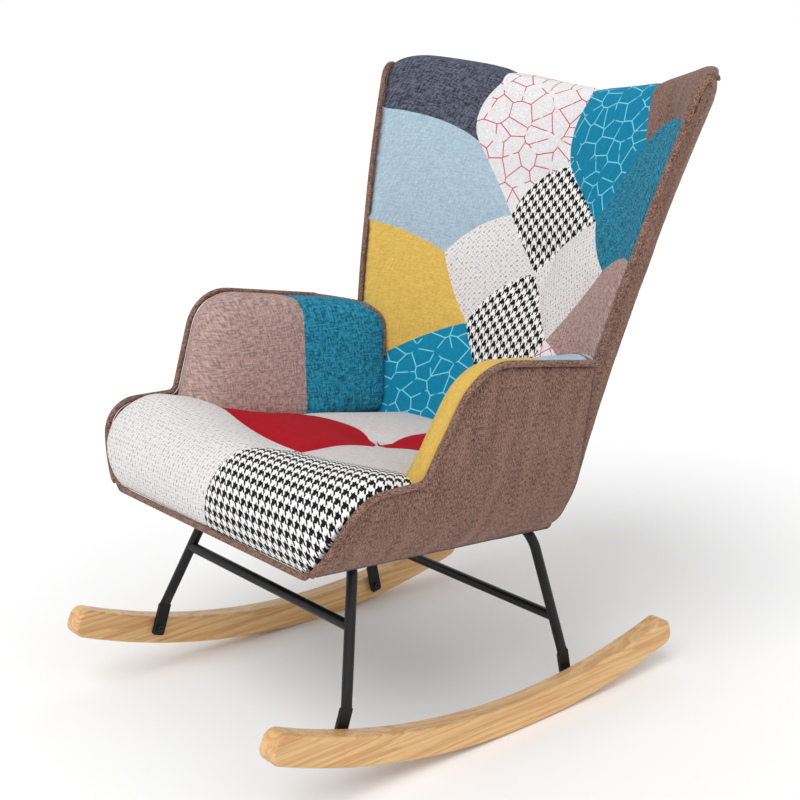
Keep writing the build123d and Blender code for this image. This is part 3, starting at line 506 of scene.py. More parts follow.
def cloths():
    """All patchwork cloths, by name, made once."""
    tints = colours()
    plain = {
        "mustard": (2.0, 0.80, 1.16),
        "teal": (3.4, 0.42, 1.60),
        "light_blue": (2.2, 0.78, 1.18),
        "slate": (3.6, 0.36, 1.80),
        "taupe": (3.2, 0.62, 1.40),
        "red": (1.6, 0.78, 1.20),
        "cream": (1.8, 0.84, 1.14),
    }
    fancy = {
        "dogtooth": (dogtooth, tints.check_dark, tints.check_light, 0.0155),
        "tweed": (tweed, tints.tweed, tints.tweed_tick, 0.0065),
        "white_print": (line_print, tints.print_white, tints.print_red, 0.034, 0.0012),
        "teal_print": (line_print, tints.print_teal, tints.print_pale, 0.030, 0.0012),
        "brown": (chenille, tints.brown),
    }
    makers = {name: (plain_cloth, getattr(tints, name), *looks) for name, looks in plain.items()}
    return {name: cloth_once(name, *values) for name, values in (makers | fancy).items()}


def cloth_once(name, maker, *values):
    """The material of that name, made on the first call."""
    return bpy.data.materials.get(name) or maker(name, *values)


# Lines and outlines

def arc(first, middle, last, steps=16):
    """Points of the arc through three points, or of the straight line where they are in line."""
    a, b, c = (np.array(point, float) for point in (first, middle, last))
    ab, ac = b - a, c - a
    spread = 2.0 * (ab[0] * ac[1] - ab[1] * ac[0])
    if abs(spread) < TINY:
        return np.linspace(a, c, steps + 1)
    offset = np.array([ac[1], -ac[0]]) * (ab @ ab) + np.array([-ab[1], ab[0]]) * (ac @ ac)
    centre = a + offset / spread
    turns = [math.atan2(point[1] - centre[1], point[0] - centre[0]) for point in (a, b, c)]
    sweep = (turns[2] - turns[0]) % math.tau
    if (turns[1] - turns[0]) % math.tau > sweep:
        sweep -= math.tau
    angles = turns[0] + sweep * np.linspace(0.0, 1.0, steps + 1)
    radius = math.hypot(*(a - centre))
    return centre + radius * np.column_stack([np.cos(angles), np.sin(angles)])


def unit(vector):
    """A vector of length 1."""
    return vector / np.linalg.norm(vector)


def clamp(share):
    """Shares kept between 0 and 1."""
    return np.clip(share, 0.0, 1.0)


def quarter(share):
    """How far a quarter circle of radius 1 has dropped at shares of its radius."""
    return 1.0 - np.sqrt(1.0 - share ** 2)


def eased(share):
    """Shares with a slow start and end."""
    return share * share * (3.0 - 2.0 * share)


def oblong(left, right, low, high):
    """The corners of a flat oblong cloth."""
    return np.array([(left, low), (right, low), (right, high), (left, high)])


def grown(corners, out):
    """An anticlockwise outline of (y, z, radius) corners, moved outwards."""
    moved = []
    for i, (y, z, radius) in enumerate(corners):
        here = np.array([y, z])
        before = unit(here - np.array(corners[i - 1][:2]))
        after = unit(np.array(corners[(i + 1) % len(corners)][:2]) - here)
        normals = [np.array([run[1], -run[0]]) for run in (before, after)]
        corner = here + (normals[0] + normals[1]) * out / (1.0 + normals[0] @ normals[1])
        convex = before[0] * after[1] - before[1] * after[0] > 0.0
        moved.append((corner[0], corner[1], max(radius + (out if convex else -out), 0.002)))
    return moved


def rounded(corners, steps=10):
    """Points round an outline of (y, z, radius) corners, from the first corner on."""
    points = []
    for i, (y, z, radius) in enumerate(corners):
        here = np.array([y, z])
        back = unit(np.array(corners[i - 1][:2]) - here)
        ahead = unit(np.array(corners[(i + 1) % len(corners)][:2]) - here)
        half = 0.5 * math.acos(np.clip(back @ ahead, -1.0, 1.0))
        centre = here + unit(back + ahead) * radius / math.sin(half)
        start = here + back * radius / math.tan(half)
        end = here + ahead * radius / math.tan(half)
        first = math.atan2(*(start - centre)[::-1])
        sweep = (math.atan2(*(end - centre)[::-1]) - first + math.pi) % math.tau - math.pi
        angles = first + sweep * np.linspace(0.0, 1.0, steps + 1)
        points.append(centre + radius * np.column_stack([np.cos(angles), np.sin(angles)]))
    return np.vstack(points)


def even(points, spacing):
    """A polyline whose runs are no longer than the spacing."""
    made = [points[:1]]
    for first, last in zip(points[:-1], points[1:]):
        count = max(1, math.ceil(np.linalg.norm(last - first) / spacing))
        made.append(first + (last - first) * np.linspace(0.0, 1.0, count + 1)[1:, None])
    return np.vstack(made)


def nearest(points, line):
    """For each point, the nearest point of a polyline."""
    best = np.full(len(points), np.inf)
    found = np.zeros_like(points)
    for first, last in zip(line[:-1], line[1:]):
        run = last - first
        share = clamp((points - first) @ run / max(run @ run, LEAST))
        foot = first + share[:, None] * run
        gap = np.linalg.norm(points - foot, axis=1)
        closer = gap < best
        best[closer] = gap[closer]
        found[closer] = foot[closer]
    return found


def contains(loop, points):
    """Which points lie inside a closed loop."""
    inside = np.zeros(len(points), bool)
    for first, last in zip(loop, np.roll(loop, -1, axis=0)):
        crosses = (first[1] > points[:, 1]) != (last[1] > points[:, 1])
        rise = last[1] - first[1]
        reach = first[0] + (points[:, 1] - first[1]) * (last[0] - first[0]) / (rise if rise else 1.0)
        inside ^= crosses & (points[:, 0] < reach)
    return inside


def gaps_to(points, lines):
    """Each point's distance to the nearest of several polylines."""
    best = np.full(len(points), np.inf)
    for line in lines:
        best = np.minimum(best, np.linalg.norm(points - nearest(points, line), axis=1))
    return best


# Cloth

class Cut:
    """A flat cloth cut into patches: points, triangles, patch numbers, distances to seams and edge."""

    row_share = 0.866
    clear_share = 0.6

    def __init__(self, outline, seams, labels, spacing):
        rim = even(np.vstack([outline, outline[:1]]), spacing)
        seams = [even(seam, spacing) for seam in self.joined(seams, rim, 0.5 * spacing)]
        filler = self.filler(rim, seams, spacing)
        points = [rim[:-1]] + seams + [filler]
        edges = []
        start = len(rim) - 1
        for seam in seams:
            edges += [(start + i, start + i + 1) for i in range(len(seam) - 1)]
            start += len(seam)
        loops = [list(range(len(rim) - 1))]
        spots = [Vector(point) for point in np.vstack(points)]
        made = delaunay_2d_cdt(spots, edges, loops, 1, MERGE, False)
        self.points = np.array([tuple(point) for point in made[0]])
        triangles = np.array([tuple(face) for face in made[2]])
        self.triangles = triangles[contains(outline, self.points[triangles].mean(axis=1))]
        self.drop_unused()
        self.seam_gap = gaps_to(self.points, seams)
        self.edge_gap = gaps_to(self.points, [rim])
        self.borders = self.find_borders(seams)
        self.patches = self.find_patches(labels)

    def joined(self, seams, rim, reach):
        """The seams, with each end that stops just short of the rim or another seam moved on to it."""
        made = [seam.copy() for seam in seams]
        for number, seam in enumerate(made):
            others = seams[:number] + seams[number + 1:] + [rim]
            for end in (0, -1):
                feet = [nearest(seam[end][None], other)[0] for other in others]
                foot = min(feet, key=lambda spot: np.linalg.norm(spot - seam[end]))
                if np.linalg.norm(foot - seam[end]) < reach:
                    seam[end] = foot
        return made

    def drop_unused(self):
        """Drops the points that no triangle holds."""
        used, numbers = np.unique(self.triangles, return_inverse=True)
        self.points = self.points[used]
        self.triangles = numbers.reshape(self.triangles.shape)

    def filler(self, rim, seams, spacing):
        """Staggered points inside the outline, kept off its edge and the seams."""
        low, high = rim.min(axis=0), rim.max(axis=0)
        rows = []
        for number, height in enumerate(np.arange(low[1], high[1], spacing * self.row_share)):
            row = np.arange(low[0] + (number % 2) * spacing / 2, high[0], spacing)
            rows.append(np.column_stack([row, np.full_like(row, height)]))
        points = np.vstack(rows)
        return points[gaps_to(points, [rim] + seams) > self.clear_share * spacing]

    def find_borders(self, seams):
        """The edges that lie on seams, as pairs of point numbers."""
        if not seams:
            return set()
        pairs = np.sort(np.vstack([self.triangles[:, [i, (i + 1) % 3]] for i in range(3)]), axis=1)
        pairs = np.unique(pairs, axis=0)
        pairs = pairs[(self.seam_gap[pairs] < TOUCH).all(axis=1)]
        middles = self.points[pairs].mean(axis=1)
        return {tuple(pair) for pair in pairs[gaps_to(middles, seams) < TOUCH]}

    def find_patches(self, labels):
        """The patch of each triangle: the number of the label that its patch holds."""
        neighbours = {}
        for number, triangle in enumerate(self.triangles):
            for i in range(3):
                pair = tuple(sorted((triangle[i], triangle[(i + 1) % 3])))
                if pair not in self.borders:
                    neighbours.setdefault(pair, []).append(number)
        linked = [[] for _ in self.triangles]
        for numbers in neighbours.values():
            if len(numbers) == 2:
                linked[numbers[0]].append(numbers[1])
                linked[numbers[1]].append(numbers[0])
        middles = self.points[self.triangles].mean(axis=1)
        patches = np.full(len(self.triangles), -1)
        for label, point in enumerate(labels):
            front = [int(np.linalg.norm(middles - point, axis=1).argmin())]
            patches[front[0]] = label
            while front:
                for number in linked[front.pop()]:
                    if patches[number] < 0:
                        patches[number] = label
                        front.append(number)
        for number in np.flatnonzero(patches < 0):
            order = np.linalg.norm(middles - middles[number], axis=1) + (patches < 0)
            patches[number] = patches[order.argmin()]
        return patches


def face_normals(points, triangles):
    """A normal for each triangle, twice as long as the triangle is large."""
    corners = points[triangles]
    return np.cross(corners[:, 1] - corners[:, 0], corners[:, 2] - corners[:, 0])


def surface_normals(points, triangles):
    """A unit normal for each point of a triangle mesh."""
    faces = face_normals(points, triangles)
    normals = np.zeros_like(points)
    for i in range(3):
        np.add.at(normals, triangles[:, i], faces)
    return normals / np.maximum(np.linalg.norm(normals, axis=1), LEAST)[:, None]


def sew(name, cut, base, grain, facing, materials, turns, depth, puff, reach, hollow=0.0, tucked=0.006):
    """Sews a cloth into a closed pad whose face swells between its seams, with a lining behind it.

    The lining lies depth behind the face. The face stands out by up to puff, most of it within reach of a
    seam, less the hollow. Its edge is darkened with painted shade, as in the groove where it turns in,
    over about the length that the last argument gives.
    """
    triangles = cut.triangles
    normals = surface_normals(base, triangles)
    if (normals @ np.array(facing)).mean() < 0.0:
        triangles = triangles[:, ::-1]
        normals = -normals
    gap = np.minimum(cut.seam_gap, cut.edge_gap)
    swell = puff * (1.0 - np.exp(-gap / reach)) - hollow
    count = len(base)
    points = np.vstack([base + normals * swell[:, None], base - normals * depth])
    owners = {}
    for number, triangle in enumerate(triangles):
        for i in range(3):
            owners[(triangle[i], triangle[(i + 1) % 3])] = cut.patches[number]
    rims = [(first, second) for first, second in owners if (second, first) not in owners]
    faces = [tuple(triangle) for triangle in triangles]
    faces += [tuple(triangle[::-1] + count) for triangle in triangles]
    faces += [(second, first, first + count, second + count) for first, second in rims]
    patches = list(cut.patches) + list(cut.patches) + [owners[pair] for pair in rims]
    mesh = bpy.data.meshes.new(name)
    mesh.from_pydata([tuple(point) for point in points], [], faces)
    for material in materials:
        mesh.materials.append(material)
    mesh.polygons.foreach_set("material_index", np.array(patches, dtype=np.int32))
    mesh.polygons.foreach_set("use_smooth", np.ones(len(faces), dtype=bool))
    lay_grain(mesh, np.vstack([grain, grain]), patches, turns)
    # Painted shade of the edge's groove: 1 at the edge, fading inwards. The cloth materials darken their
    # colour by it.
    shade = np.exp(-cut.edge_gap / tucked) if tucked else np.zeros(count)
    mesh.attributes.new(EDGE_SHADE_MAP, "FLOAT", "POINT").data.foreach_set("value", np.tile(shade, 2))
    piece = bpy.data.objects.new(name, mesh)
    bpy.context.scene.collection.objects.link(piece)
    crease_seams(piece, cut.borders)
    held = np.flatnonzero(gap < TOUCH)
    return piece, [int(i) for i in held] + list(range(count, 2 * count))


def lay_grain(mesh, grain, patches, turns):
    """Writes the cloth map, with each patch's weave turned by its own angle."""
    layer = mesh.uv_layers.new(name=CLOTH_MAP)
    for polygon in mesh.polygons:
        turn = turns[patches[polygon.index]]
        cos, sin = math.cos(turn), math.sin(turn)
        for loop in polygon.loop_indices:
            u, v = grain[mesh.loops[loop].vertex_index]
            layer.data[loop].uv = (u * cos - v * sin, u * sin + v * cos)


def crease_seams(piece, borders):
    """Joins triangles within patches and creases the edges that lie on seams."""
    body = bmesh.new()
    body.from_mesh(piece.data)
    body.verts.ensure_lookup_table()
    crease = body.edges.layers.float.new("crease_edge")
    for first, second in borders:
        edge = body.edges.get((body.verts[first], body.verts[second]))
        if edge:
            edge[crease] = 0.7
            edge.seam = True
    triangles = [face for face in body.faces if len(face.verts) == 3]
    bmesh.ops.join_triangles(
        body, faces=triangles, cmp_seam=True, cmp_materials=True,
        angle_face_threshold=math.radians(40), angle_shape_threshold=math.radians(60))
    body.to_mesh(piece.data)
    body.free()


def swell(piece, held, pressure, cap):
    """Blows up the cloth between its sewn points and keeps the result in the mesh."""
    sewn = piece.vertex_groups.new(name="sewn")
    sewn.add(held, 1.0, "REPLACE")
    before = np.array([vertex.co[:] for vertex in piece.data.vertices])
    puff = piece.modifiers.new("Puff", "CLOTH")
    settings = {
        "quality": 4,
        "mass": 0.25,
        "tension_stiffness": 12.0,
        "compression_stiffness": 12.0,
        "bending_stiffness": 0.6,
        "use_pressure": True,
        "uniform_pressure_force": pressure,
        "vertex_group_mass": sewn.name,
    }
    for key, value in settings.items():
        setattr(puff.settings, key, value)
    puff.settings.effector_weights.gravity = 0.0
    puff.collision_settings.use_collision = False
    for moment in range(SWELL_FRAMES):
        bpy.context.scene.frame_set(moment + 1)
    solved = piece.evaluated_get(bpy.context.evaluated_depsgraph_get())
    after = np.array([vertex.co[:] for vertex in solved.data.vertices])
    move = after - before
    size = np.linalg.norm(move, axis=1)
    move *= np.minimum(1.0, cap / np.maximum(size, TINY))[:, None]
    piece.modifiers.remove(puff)
    piece.vertex_groups.remove(sewn)
    piece.data.vertices.foreach_set("co", (before + move).ravel())
    bpy.context.scene.frame_set(1)
    smooth_out(piece)


def smooth_out(piece):
    """Divides a piece's faces once, smoothly."""
    smooth = piece.modifiers.new("Smooth", "SUBSURF")
    smooth.levels = 1
    smooth.render_levels = 1


def tuft_hollow(size, across, along):
    """How deep a tuft pulls the cloth in at distances from it."""
    gap = np.hypot(across, along) / size.tuft_radius
    return size.tuft_depth * np.exp(-gap ** 2)


def patchwork(patches):
    """The materials of a cloth's patches and the turns of their weaves."""
    made = cloths()
    return [made[name.split(".")[0]] for name in patches], [turn for point, turn in patches.values()]


def hand_over(piece, slot, *nodes, fill=None):
    """Puts a piece in the frame for the nodes that it stands for."""
    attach(piece, "root")
    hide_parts(*nodes)


# Back

class Back:
    """The back's face, from its foot over its top to the rear edge, in shares of width and height."""

    wide = 0.30
    tall = 0.60
    over = 0.14
    curl_start = 0.96
    fall_start = 0.86
    round_power = 12
    tip_power = 5
    lean_step = 0.03

    def __init__(self, sizes):
        self.sizes = sizes

    def half_width(self, z):
        return self.sizes.back_half_foot + self.sizes.back_flare * (z - self.sizes.back_foot_z)

    def front(self, share, z):
        """Where the face is, before its edge curls back."""
        size = self.sizes
        rise = z - size.back_foot_z
        middle = size.back_middle_foot + rise * (size.back_middle_lean + size.back_middle_bow * rise)
        wing = size.back_wing_foot + rise * (size.back_wing_lean + size.back_wing_bow * rise)
        return size.contact_y + middle - (middle - wing) * np.abs(share) ** size.back_wing_power

    def curl(self, share):
        """How far the face's edge curls back."""
        late = clamp((np.abs(share) - self.curl_start) / (1.0 - self.curl_start))
        return self.sizes.back_edge_inset * quarter(late)

    def slim(self, share, z):
        """The share of its thickness that the back has; it thins along its sides and at the ears' tips."""
        size = self.sizes
        late = clamp((z - size.edge_taper_low) / size.edge_taper_tall)
        tip = eased(clamp((z - size.tip_taper_low) / size.tip_taper_tall))
        edge = size.edge_taper * late * np.abs(share) ** size.edge_power
        return 1.0 - np.maximum(edge, size.tip_taper * tip * np.abs(share) ** self.tip_power)

    def rear(self, share, z):
        """Where the rear is, with its sides cut away at the foot."""
        size = self.sizes
        foot = clamp(1.0 - (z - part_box("back_border_left")[0][2]) / size.border_foot_tall)
        cut = size.border_foot_deep * quarter(foot) * np.abs(share) ** size.edge_power
        return self.front(share, z) + size.back_thickness * self.slim(share, z) - cut

    def ridge(self, share):
        """The top's two rounds, the face's lean there, and the heights where the rounds start and end."""
        size = self.sizes
        out = np.minimum(np.abs(share) / size.back_ear_place, 1.0)
        ease = 0.5 * out ** 2 + 0.5 * np.sin(out * math.pi / 2) ** 2
        fall = clamp((np.abs(share) - self.fall_start) / (1.0 - self.fall_start))
        top = size.back_dip + size.back_ear_rise * ease - size.back_ear_fall * quarter(fall)
        late = np.abs(share) ** self.round_power
        front = size.back_top_round + (size.back_ear_round - size.back_top_round) * late
        rear = size.back_top_round + (size.back_rear_round - size.back_top_round) * ease
        lower = top - self.lean_step
        lean = np.arctan((self.front(share, top) - self.front(share, lower)) / self.lean_step)
        start = top - front * (1.0 - np.sin(lean))
        return front, rear, lean, start, top - rear * (1.0 + np.sin(lean))

    def place(self, share, height):
        """Points of the face. Height is 1 where the top's round starts and 1 + over at the rear edge."""
        share, height = np.broadcast_arrays(np.asarray(share, float), np.asarray(height, float))
        front, rear, lean, start, end = self.ridge(share)
        z = self.sizes.back_low + np.minimum(height, 1.0) * (start - self.sizes.back_low)
        y = self.front(share, z)
        flat = self.front(share, end) + self.sizes.back_thickness - self.front(share, start)
        flat = np.maximum(flat - (front + rear) * np.cos(lean), 0.0)
        runs = front * (math.pi / 2 - lean), flat, rear * (math.pi / 2 + lean)
        late = clamp((height - 1.0) / self.over)
        done = late * (runs[0] + runs[1] + runs[2])
        first = np.minimum(done, runs[0]) / front
        y = y + front * (np.cos(lean) - np.cos(lean + first))
        z = z + front * (np.sin(lean + first) - np.sin(lean))
        y = y + np.clip(done - runs[0], 0.0, runs[1])
        last = np.maximum(done - runs[0] - runs[1], 0.0) / rear
        y = y + rear * np.sin(last) + self.curl(share) * (1.0 - late)
        z = z - rear * (1.0 - np.cos(last))
        face = self.front(share, z)
        return np.column_stack([share * self.half_width(z), face + (y - face) * self.slim(share, z), z])

    def flat(self, x, z):
        """A point of the face as a point of the flat cloth."""
        share = x / self.half_width(z)
        low, start = self.sizes.back_low, self.ridge(share)[3]
        return np.array([share * self.wide, (z - low) / (start - low) * self.tall])

    def seam(self, *points, over_top=False):
        """A seam through three points (x, z) of the face, carried on over the top where asked."""
        line = np.array([self.flat(x, z) for x, z in arc(*points)])
        if over_top:
            line = np.vstack([line, [line[-1][0], self.tall * (1.0 + self.over)]])
        return line


def back_seams(back):
    """The back's seams, which meet where three or four patches meet."""
    far_ear, far_side, far_low = (-0.340, 0.881), (-0.306, 0.696), (-0.258, 0.439)
    near_ear, near_side, near_low = (0.340, 0.884), (0.306, 0.694), (0.258, 0.439)
    far_high, near_high = (-0.184, 0.826), (0.181, 0.847)
    far_diamond, near_diamond = (-0.084, 0.710), (0.109, 0.720)
    far_middle, near_middle = (-0.178, 0.642), (0.181, 0.657)
    far_foot, near_foot = (-0.097, 0.534), (0.087, 0.534)
    crown, tuft, point = (0.006, 0.795), (0.0, back.sizes.back_tuft_z), (0.0, 0.430)
    return [
        back.seam(far_ear, (-0.268, 0.866), far_high),
        back.seam(near_ear, (0.215, 0.874), near_high),
        back.seam(far_high, (-0.197, 0.891), (-0.178, 0.925), over_top=True),
        back.seam(near_high, (0.155, 0.900), (0.150, 0.920), over_top=True),
        back.seam(far_high, (-0.132, 0.764), far_diamond),
        back.seam(near_high, (0.141, 0.786), near_diamond),
        back.seam(far_middle, (-0.144, 0.682), far_diamond),
        back.seam(near_middle, (0.140, 0.679), near_diamond),
        back.seam(far_side, (-0.244, 0.674), far_middle),
        back.seam(near_side, (0.225, 0.682), near_middle),
        back.seam(far_middle, (-0.146, 0.588), far_foot),
        back.seam(near_middle, (0.135, 0.596), near_foot),
        back.seam(far_foot, (-0.167, 0.504), far_low),
        back.seam(near_foot, (0.167, 0.504), near_low),
        back.seam(far_foot, (-0.067, 0.586), tuft),
        back.seam(near_foot, (0.040, 0.580), tuft),
        back.seam(far_diamond, (-0.046, 0.668), tuft),
        back.seam(near_diamond, (0.039, 0.668), tuft),
        back.seam(far_diamond, (-0.060, 0.761), crown),
        back.seam(near_diamond, (0.054, 0.755), crown),
        back.seam(crown, (-0.011, 0.860), (0.0, 0.900), over_top=True),
        back.seam(far_foot, (-0.064, 0.488), point),
        back.seam(near_foot, (0.064, 0.488), point),
        back.seam(point, (0.0, 0.380), (0.0, back.sizes.back_low - 0.01)),
    ]


BACK_PATCHES = {
    "slate": ((-0.260, 0.900), 0.2),
    "light_blue": ((-0.230, 0.770), 0.0),
    "mustard": ((-0.200, 0.590), 0.1),
    "white_print": ((-0.090, 0.850), 0.0),
    "teal_print": ((0.090, 0.860), 0.6),
    "brown": ((0.260, 0.910), 0.0),
    "teal": ((0.230, 0.770), 0.1),
    "taupe.low": ((0.200, 0.590), 0.0),
    "dogtooth.high": ((0.0, 0.710), 0.66),
    "dogtooth.low": ((0.0, 0.530), 0.66),
    "tweed.far": ((-0.095, 0.625), 0.5),
    "tweed.near": ((0.095, 0.625), -0.5),
    "teal_print.low": ((-0.100, 0.440), 0.3),
    "white_print.low": ((0.100, 0.440), 1.1),
}


class ARMCHAIR_OT_back_cushion(bpy.types.Operator):
    """Sews the back's patchwork cushion, with its tuft and wings"""

    bl_idname = "armchair.back_cushion"
    bl_label = "Back cushion"
    weave_stretch = 1.08

    def execute(self, context):
        size = sizes()
        back = Back(size)
        outline = oblong(-back.wide, back.wide, 0.0, back.tall * (1.0 + back.over))
        labels = [back.flat(*point) for point, turn in BACK_PATCHES.values()]
        cut = Cut(outline, back_seams(back), labels, size.spacing)
        base = back.place(cut.points[:, 0] / back.wide, cut.points[:, 1] / back.tall)
        grain = np.column_stack([base[:, 0], cut.points[:, 1] * self.weave_stretch])
        hollow = tuft_hollow(size, base[:, 0], base[:, 2] - size.back_tuft_z)
        piece, held = sew(
            "back_cushion_cloth", cut, base, grain, (0, -1, 0), *patchwork(BACK_PATCHES),
            depth=0.008, puff=0.005, reach=0.014, hollow=hollow, tucked=0.011)
        swell(piece, held, pressure=4.0, cap=0.006)
        hand_over(piece, "patchwork", "back_cushion", fill=0.8)
        return {"FINISHED"}


class ARMCHAIR_OT_back_cover(bpy.types.Operator):
    """Covers the back's rear and its two edges with brown chenille"""

    bl_idname = "armchair.back_cover"
    bl_label = "Back cover"
    rear_sink = 0.002
    rear_power = 30
    border_wide = 0.042
    border_skirt = 0.06

    def execute(self, context):
        size = sizes()
        back = Back(size)
        brown = cloths()["brown"]
        self.rear(size, back, brown)
        for side in (LEFT, RIGHT):
            self.border(size, back, brown, side)
        return {"FINISHED"}

    def rear(self, size, back, brown):
        """The outer back, from below the seat to the top's rear edge."""
        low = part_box("outer_back_pad")[0][2]
        outline = oblong(-back.wide, back.wide, 0.0, back.tall)
        cut = Cut(outline, [], [(0.0, 0.3)], size.spacing * 1.3)
        share = cut.points[:, 0] / back.wide
        end = back.ridge(share)[4]
        z = low + cut.points[:, 1] / back.tall * (end - low)
        y = back.rear(share, z) - self.rear_sink * (1.0 - np.abs(share) ** self.rear_power)
        base = np.column_stack([share * back.half_width(z), y, z])
        grain = np.column_stack([base[:, 0], z])
        piece, held = sew(
            "outer_back_cloth", cut, base, grain, (0, 1, 0), [brown], [0.0],
            depth=0.005, puff=0.004, reach=0.03, tucked=0.0)
        swell(piece, held, pressure=1.0, cap=0.004)
        hand_over(piece, "brown_chenille", "outer_back_pad", fill=0.6)

    def border(self, size, back, brown, side):
        """The strip between a wing's piping and the outer back."""
        node = "back_border_" + SIDE_NAMES[side]
        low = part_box(node)[0][2]
        high = back.tall * (1.0 + back.over)
        outline = oblong(0.0, self.border_wide, -self.border_skirt, high)
        cut = Cut(outline, [], [(0.02, 0.3)], size.spacing * 0.9)
        across = cut.points[:, 0] / self.border_wide
        height = cut.points[:, 1] / back.tall
        face = back.place(np.full_like(height, side), np.maximum(height, 0.0))
        below = np.maximum(-height, 0.0) * back.tall / self.border_skirt
        face[:, 2] -= below * (size.back_low - low)
        face[:, 0] = side * back.half_width(face[:, 2])
        edge = back.front(1.0, face[:, 2]) + size.back_edge_inset
        face[:, 1] = np.where(below > 0.0, edge, face[:, 1])
        start, end = back.ridge(1.0)[3:]
        late = clamp((height - 1.0) / back.over)
        rear_z = np.where(height > 1.0, start + (end - start) * late, face[:, 2])
        rear = np.column_stack([side * back.half_width(rear_z), back.rear(1.0, rear_z), rear_z])
        base = face + (rear - face) * across[:, None]
        name = "back_border_cloth_" + SIDE_NAMES[side]
        piece, held = sew(
            name, cut, base, cut.points, (side, 0, 0), [brown], [0.0],
            depth=0.003, puff=0.003, reach=0.008, tucked=0.0)
        swell(piece, held, pressure=1.0, cap=0.003)
        hand_over(piece, "brown_chenille", node, fill=0.6)


# Seat

class Seat:
    """The seat's face along its profile, from the nose's foot to its rear edge."""

    wide = 0.30
    nose = [(-0.391, 0.331), (-0.392, 0.389), (-0.305, 0.447)]
    dish = (-0.190, 0.4205)
    tuft_z = 0.402
    rear = (0.150, 0.372)
    step = 0.004
    arm_lap = 0.006
    roll_y = -0.216
    roll_run = 0.034
    drop_y = (-0.30, -0.24)
    drop = (0.002, 0.008)
    drop_power = 10
    sag_y = -0.272
    sag_reach = 0.070
    sag_ends = 2.8
    piped_y = -0.235
    piped_run = 0.030
    piped_power = 14

    def __init__(self, sizes):
        self.sizes = sizes
        dish = arc(self.nose[2], self.dish, (sizes.tuft_y, self.tuft_z))
        self.profile = even(np.vstack([arc(*self.nose), dish[1:], [self.rear]]), self.step)
        runs = np.linalg.norm(np.diff(self.profile, axis=0), axis=1)
        self.lengths = np.concatenate([[0.0], np.cumsum(runs)])

    def along(self, y):
        """The profile's length at a place behind the nose."""
        top = self.profile[:, 1].argmax()
        return np.interp(y, self.profile[top:, 0], self.lengths[top:])

    def side_line(self, run):
        """Place, height and half width of the profile."""
        y = np.interp(run, self.lengths, self.profile[:, 0])
        z = np.interp(run, self.lengths, self.profile[:, 1])
        roll = Side(self.sizes).skin(y, z) - self.sizes.pad_sink
        arms = arm_face(self.sizes, y, z) + self.arm_lap
        blend = 1.0 - clamp((self.roll_y - y) / self.roll_run) ** 2
        return y, z, roll + (arms - roll) * blend

    def place(self, share, run):
        """Points of the seat."""
        y, z, half = self.side_line(run)
        drop = np.interp(y, self.drop_y, self.drop) * np.abs(share) ** self.drop_power
        near = np.exp(-((y - self.sag_y) / self.sag_reach) ** 2)
        lift = self.sizes.roll_sag * (self.sag_ends * share ** 2 - 1.0) * near
        piped = clamp((self.piped_y - y) / self.piped_run)
        lift = lift * (1.0 - piped * np.abs(share) ** self.piped_power)
        return np.column_stack([share * half, y + self.sizes.contact_y, z - drop + lift])

    def flat(self, x, y):
        """A point (x, y) of the seat as a point of the flat cloth."""
        run = self.along(y)
        return np.array([x / self.side_line(run)[2] * self.wide, run])

    def seam(self, *points):
        """A seam through three points (x, y) of the seat."""
        return np.array([self.flat(x, y) for x, y in arc(*points)])


class Side:
    """The chair's outer side: a flared wall that curls in towards the seat board."""

    def __init__(self, sizes):
        self.sizes = sizes

    def skin(self, y, z):
        """Half width of the outer skin at a place of the side view."""
        size = self.sizes
        behind = np.asarray(y, float) - size.seat_datum_y
        up = np.asarray(z, float) + math.tan(size.seat_tilt) * behind
        centre_x = size.side_knee_x - size.side_curl * math.cos(size.side_flare)
        centre_z = size.side_knee_z + size.side_curl * math.sin(size.side_flare)
        flared = size.side_knee_x + (up - size.side_knee_z) * math.tan(size.side_flare)
        drop = np.clip(centre_z - up, 0.0, size.side_curl * math.sin(size.side_curl_end))
        curled = centre_x + np.sqrt(size.side_curl ** 2 - drop ** 2)
        return np.where(up >= size.side_knee_z, flared, curled) - math.tan(size.side_toe_in) * behind


SIDE_CORNERS = [
    (-0.396, 0.331, 0.012),
    (0.082, 0.283, 0.010),
    (0.060, 0.562, 0.014),
    (-0.179, 0.601, 0.075),
    (-0.247, 0.444, 0.020),
    (-0.366, 0.446, 0.058),
]


def arm_face(size, y, z):
    """Half width between the arms' inner faces."""
    narrower = size.arm_toe_in * (y - size.arm_inner_y)
    return size.arm_inner_x - narrower + size.arm_flare * (z - size.arm_inner_z)


SEAT_PATCHES = {
    "tweed": ((-0.150, -0.290), 0.0),
    "dogtooth": ((0.150, -0.290), 0.0),
    "red.far": ((-0.070, -0.150), 0.3),
    "cream.far": ((-0.080, 0.010), 0.0),
    "red.near": ((0.080, 0.010), 0.4),
    "cream.near": ((0.090, -0.150), 0.0),
}


